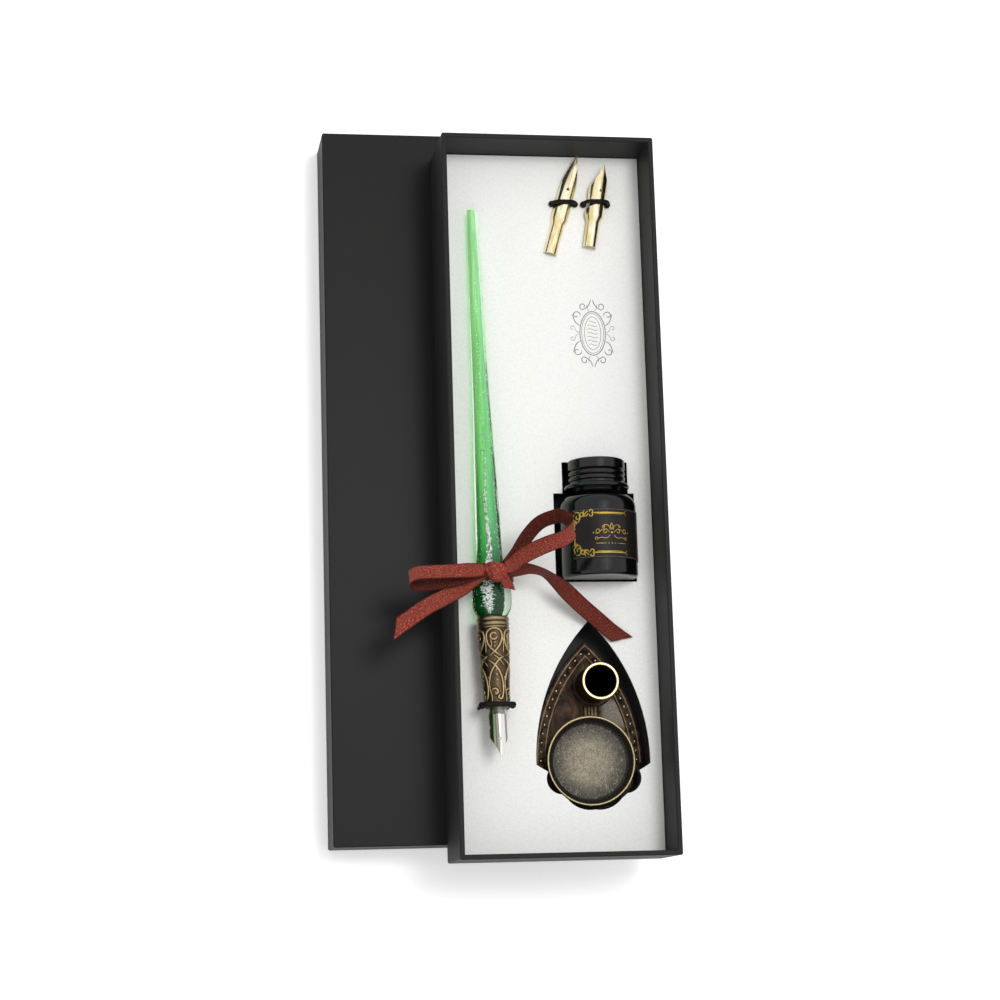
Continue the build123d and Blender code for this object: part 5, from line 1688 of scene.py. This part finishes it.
# --------------------------------------------------------------------- bottle
@dataclass
class Bottle:
    """Ink bottle with a gilded label."""

    axis_x: float = 40.8
    axis_z: float = 41.5
    base_y: float = -40.1
    radius: float = 15.64
    label_from: float = -52.0
    label_to: float = 102.0
    label_low: float = 6.3
    label_high: float = 26.3
    rules: tuple[float, float] = (9.2, 23.0)
    flourish_at: float = 16.6

    def wrap(self, points: Sequence[tuple[float, float]]) -> tuple[list[Vector], list[Vector]]:
        """Wraps a flat run round the label.

        Args:
            points: Millimetres round from the label's left edge and millimetres up from the bottle's base.

        Returns:
            The points and the normals there.
        """
        places, normals = [], []
        for x, y in points:
            angle = math.radians(self.label_from) + x / self.radius
            normal = Vector((math.sin(angle), 0, math.cos(angle)))
            places.append((Vector((self.axis_x, self.base_y + y, self.axis_z)) + normal * self.radius) * MM)
            normals.append(normal)
        return places, normals

    def build(self) -> None:
        """Dresses the bottle and prints its label."""
        dress(bottle_glass=Look.BOTTLE, ink=Look.INK, bottle_cap=Look.CAP, cap_liner=Look.LINER,
              bottle_label=Look.LABEL)
        self._gilding()

    def _gilding(self) -> None:
        """Prints pale border lines, gold rules and gold corner scrolls."""
        width = math.radians(self.label_to - self.label_from) * self.radius
        low, high = self.label_low, self.label_high
        bead = Bead(0.11 * MM, 0.03 * MM, 6)
        bm = bmesh.new()
        for y in (low + 0.5, high - 0.5):
            raised_line(bm, *self.wrap([(0.4 + (width - 0.8) * k / 60, y) for k in range(61)]), bead)
        finish_piece("label_border", bm, Look.LABEL_LINE, Body.BOTTLE, Slot.LABEL)
        gold, fine = Bead(0.26 * MM, 0.05 * MM, 6), Bead(0.24 * MM, 0.05 * MM, 6)
        hair = Bead(0.12 * MM, 0.04 * MM, 6)
        bm = bmesh.new()
        start, stop = self.rules
        middle = 0.5 * (low + high) + 0.1
        for y, sign in ((high - 1.9, -1.0), (low + 2.2, 1.0)):
            raised_line(bm, *self.wrap([(start + (stop - start) * k / 30, y) for k in range(31)]), gold, 0.03)
            inner = [(start + 1.0 + (stop - start - 2.0) * k / 30, y + 0.5 * sign) for k in range(31)]
            raised_line(bm, *self.wrap(inner), hair, 0.1)
            for way in (1.0, -1.0):
                fork = smooth_run(((stop - 1.6, y), (stop - 0.2, y + 0.25 * way),
                                   (stop + 0.5, y + 1.1 * way)), 10)
                raised_line(bm, *self.wrap(fork), hair, 0.15)
            for end, way in ((0.0, 1.0), (width, -1.0)):
                for run in self._corner(sign):
                    points = [(end + way * x, y + dy) for x, dy in run]
                    raised_line(bm, *self.wrap(points), fine, 0.1)
        for run in self._flourish():
            raised_line(bm, *self.wrap([(self.flourish_at + x, middle + y) for x, y in run]), hair, 0.1)
        for x, y, radius in ((0.0, 0.0, 0.42), (-7.4, 0.0, 0.3), (7.4, 0.0, 0.3), (0.0, -4.3, 0.26),
                             (-1.4, -4.3, 0.2), (1.4, -4.3, 0.2), (-2.7, -4.3, 0.16), (2.7, -4.3, 0.16)):
            (point,), (normal,) = self.wrap([(self.flourish_at + x, middle + y)])
            flat = Matrix.Scale(0.12, 3, normal)
            for vert in bmesh.ops.create_icosphere(bm, subdivisions=2, radius=radius * MM)["verts"]:
                vert.co = flat @ vert.co + point
        finish_piece("label_gilding", bm, Look.GILDING, Body.BOTTLE, Slot.GOLD)

    @staticmethod
    def _flourish() -> list[Run]:
        """Plain scrollwork for the middle of the label, the same on both sides."""
        half = [
            smooth_run(((0.9, 0.0), (2.4, 1.3), (4.2, 1.0), (5.6, -0.3), (6.8, -0.1)), 26),
            curl((2.6, 0.35), 0.95, 0.25, 80, -200, 20),
            curl((5.5, 0.75), 1.05, 0.3, -90, 230, 20),
            smooth_run(((0.6, 0.9), (1.1, 2.5), (2.8, 3.1), (3.9, 2.2)), 18),
            curl((3.3, 2.5), 0.65, 0.25, 10, -260, 16),
            smooth_run(((0.0, 1.2), (0.55, 2.4), (0.0, 3.9)), 12),
            smooth_run(((0.7, -0.9), (2.2, -2.2), (4.6, -2.0), (6.4, -2.9)), 22),
            curl((6.2, -2.2), 0.7, 0.25, -80, 220, 16),
            smooth_run(((3.2, -4.3), (5.0, -4.3), (6.6, -4.3)), 8),
        ]
        return half + [[(-x, y) for x, y in run] for run in half]

    @staticmethod
    def _corner(sign: float) -> list[Run]:
        """Scrolls of one corner.

        Args:
            sign: One to grow upwards, minus one to grow downwards.

        Returns:
            The runs, from the label's end inwards.
        """
        runs = [
            curl((8.3, 0.7), 0.95, 0.4, -80, 220, 18),
            curl((8.3, -0.7), 0.95, 0.4, 80, -220, 18),
            smooth_run(((7.4, 0.0), (6.2, 1.2), (4.8, -0.5), (3.2, 0.8)), 18),
            smooth_run(((7.2, -1.0), (5.8, 0.3), (4.4, 1.2), (3.2, -0.3)), 18),
            smooth_run(((5.6, 1.5), (5.1, 0.2), (5.7, -1.2)), 12),
            curl((2.6, 1.3), 1.25, 0.4, -60, 260, 22),
            curl((1.7, 3.7), 1.15, 0.35, 100, 420, 22),
            smooth_run(((1.0, 0.0), (0.6, 2.0), (1.6, 3.0), (0.9, 5.2), (1.5, 6.2)), 20),
            smooth_run(((4.0, 1.4), (3.3, 2.8), (2.7, 3.5)), 12),
            smooth_run(((1.4, -0.5), (2.6, -0.7), (3.6, -0.2)), 10),
        ]
        return [[(x, y * sign) for x, y in run] for run in runs]


# ---------------------------------------------------------------------- stand
class Stand:
    """Cast stand: plate, enamel, studs, tube and dish."""


    def build(self) -> None:
        """Dresses the stand."""
        dress(stand_plate=Look.STAND_PLATE, stand_inlay=Look.STAND_ENAMEL, stand_studs=Look.STAND_STUD,
              stand_tube=Look.STAND_TUBE, stand_dish=Look.STAND_DISH)


# ------------------------------------------------------------------- elastics
@dataclass(frozen=True)
class Band:
    """An elastic over something held: its node, and in millimetres half its spread, its thickness and bend.

    leg is the legs' thickness as a share of the band's, bead the radius of its beads, and bead_rise their
    height over the card.
    """

    node: str
    half: float
    thick: float
    bend: float
    leg: float
    bead: float
    bead_rise: float


@dataclass
class Elastics:
    """Black elastics that hold the pen and the spare nibs down on the card."""

    card: float = 38.5
    bands: tuple[Band, ...] = (Band("pen_elastic", 5.95, 1.9, 1.7, 0.45, 1.4, 10.2),
                               Band("nib_elastic_long", 4.75, 1.5, 3.0, 0.9, 1.35, 0.9),
                               Band("nib_elastic_short", 4.95, 1.5, 3.2, 0.9, 1.35, 0.9))

    def build(self) -> None:
        """Builds every elastic."""
        for band in self.bands:
            self._band(band)

    def _band(self, band: Band) -> None:
        """Builds one elastic: a cord over the piece, and a bead on each leg.

        Args:
            band: The elastic.
        """
        low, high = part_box(band.node)
        x, y = 0.5 * (low[0] + high[0]) / MM, 0.5 * (low[1] + high[1]) / MM
        top, foot = high[2] / MM - 0.6, self.card - 1.2
        path = [(-band.half, foot + (top - band.bend - foot) * k / 6) for k in range(6)]
        for k in range(11):
            angle = math.radians(9 * k)
            path.append((-band.half + band.bend * (1 - math.cos(angle)),
                         top - band.bend + band.bend * math.sin(angle)))
        path += [(0.0, top + 0.12)]
        path += [(-px, pz) for px, pz in reversed(path[:-1])]
        rings = []
        for k, (px, pz) in enumerate(path):
            before, after = path[max(k - 1, 0)], path[min(k + 1, len(path) - 1)]
            along = Vector((after[0] - before[0], 0, after[1] - before[1])).normalized()
            up = Vector((0, 1, 0)).cross(along)
            half = band.thick / 2 * (band.leg if pz < top - band.bend - 0.2 else 1.0)
            centre, ring = Vector((x + px, y, pz)), []
            for n in range(18):
                angle = math.radians(20 * n)
                out = Vector((0, 1, 0)) * math.cos(angle) + up * math.sin(angle)
                ring.append((centre + out * half) * MM)
            rings.append(ring)
        bm = bmesh.new()
        sweep(bm, rings)
        for side in (-1, 1):
            ball = bmesh.ops.create_uvsphere(bm, u_segments=28, v_segments=18, radius=band.bead * MM)
            for vert in ball["verts"]:
                vert.co += Vector((x + side * (band.half + 0.05), y, self.card + band.bead_rise)) * MM
        finish_piece(band.node + "_braid", bm, Look.ELASTIC, Body.INSERT, Slot.ELASTIC, band.node)


# ------------------------------------------------------------------------ box
@dataclass
class Box:
    """Box, lid and card tray with its printed ornament."""

    card: float = 38.5
    centre: tuple[float, float] = (42.3, 62.2)

    def build(self) -> None:
        """Dresses the box and prints the ornament."""
        dress(lid_shell=Look.LID, base_shell=Look.BOX, insert_card=Look.CARD, insert_foam=Look.FOAM,
              spare_nib_long=Look.GOLD, spare_nib_short=Look.GOLD)
        self._ornament()

    def _ornament(self) -> None:
        """Prints a plain scroll ornament: an oval band, four corner scrolls and two finials."""
        thin, bold = Bead(0.10 * MM, 0.02 * MM, 6), Bead(0.17 * MM, 0.025 * MM, 6)
        bm = bmesh.new()

        def draw(points: Iterable[tuple[float, float]], bead: Bead, closed: bool = False) -> None:
            """Prints one line, given across and along the ornament."""
            x0, y0 = self.centre
            places = [Vector((x0 + x, y0 + y, self.card + 0.01)) * MM for x, y in points]
            raised_line(bm, places, [Vector((0, 0, 1))] * len(places), bead, 0.0 if closed else 0.15, closed)

        for wide, long, bead in ((4.6, 8.4, thin), (5.3, 9.2, bold), (3.4, 6.9, thin)):
            draw([(wide * math.cos(2 * math.pi * k / 64), long * math.sin(2 * math.pi * k / 64))
                  for k in range(64)], bead, True)
        for sx in (-1, 1):
            for sy in (-1, 1):
                for run, bead in (
                    (curl((6.6, 7.6), 1.9, 0.4, 200, -160, 30), bold),
                    (curl((3.6, 11.4), 1.7, 0.4, 270, 590, 30), bold),
                    (smooth_run(((5.2, 3.2), (6.8, 4.4), (7.6, 5.9), (8.3, 8.2)), 18), bold),
                    (smooth_run(((4.2, 9.9), (2.6, 10.6), (1.2, 12.0), (0.3, 14.3)), 18), bold),
                    (curl((8.4, 2.1), 1.15, 0.3, 180, -150, 22), thin),
                    (smooth_run(((5.6, 0.2), (6.9, 1.0), (7.4, 2.4)), 12), thin),
                    (smooth_run(((1.1, 9.4), (1.9, 10.6), (2.0, 12.2)), 12), thin),
                ):
                    draw([(x * sx, y * sy) for x, y in run], bead)
        for k in range(7):
            y = -4.8 + 1.6 * k
            half = 2.5 * math.sqrt(max(0.0, 1 - (y / 6.4) ** 2))
            wave = ((-half, y), (-half / 2, y + 0.35), (0.0, y), (half / 2, y - 0.35), (half, y))
            draw(smooth_run(wave, 18), thin)
        finish_piece("card_ornament", bm, Look.PRINT, Body.INSERT, Slot.CARD)


def main() -> None:
    logging.basicConfig(level=logging.INFO, format="%(name)s %(message)s")
    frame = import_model()
    NODES.update(frame["nodes"])
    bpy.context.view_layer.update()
    for assembly in (Studio(), Box(), Elastics(), Pen(), Bow(), Bottle(), Stand()):
        assembly.build()
        LOG.info("%s built", type(assembly).__name__)


if __name__ == "__main__":
    main()
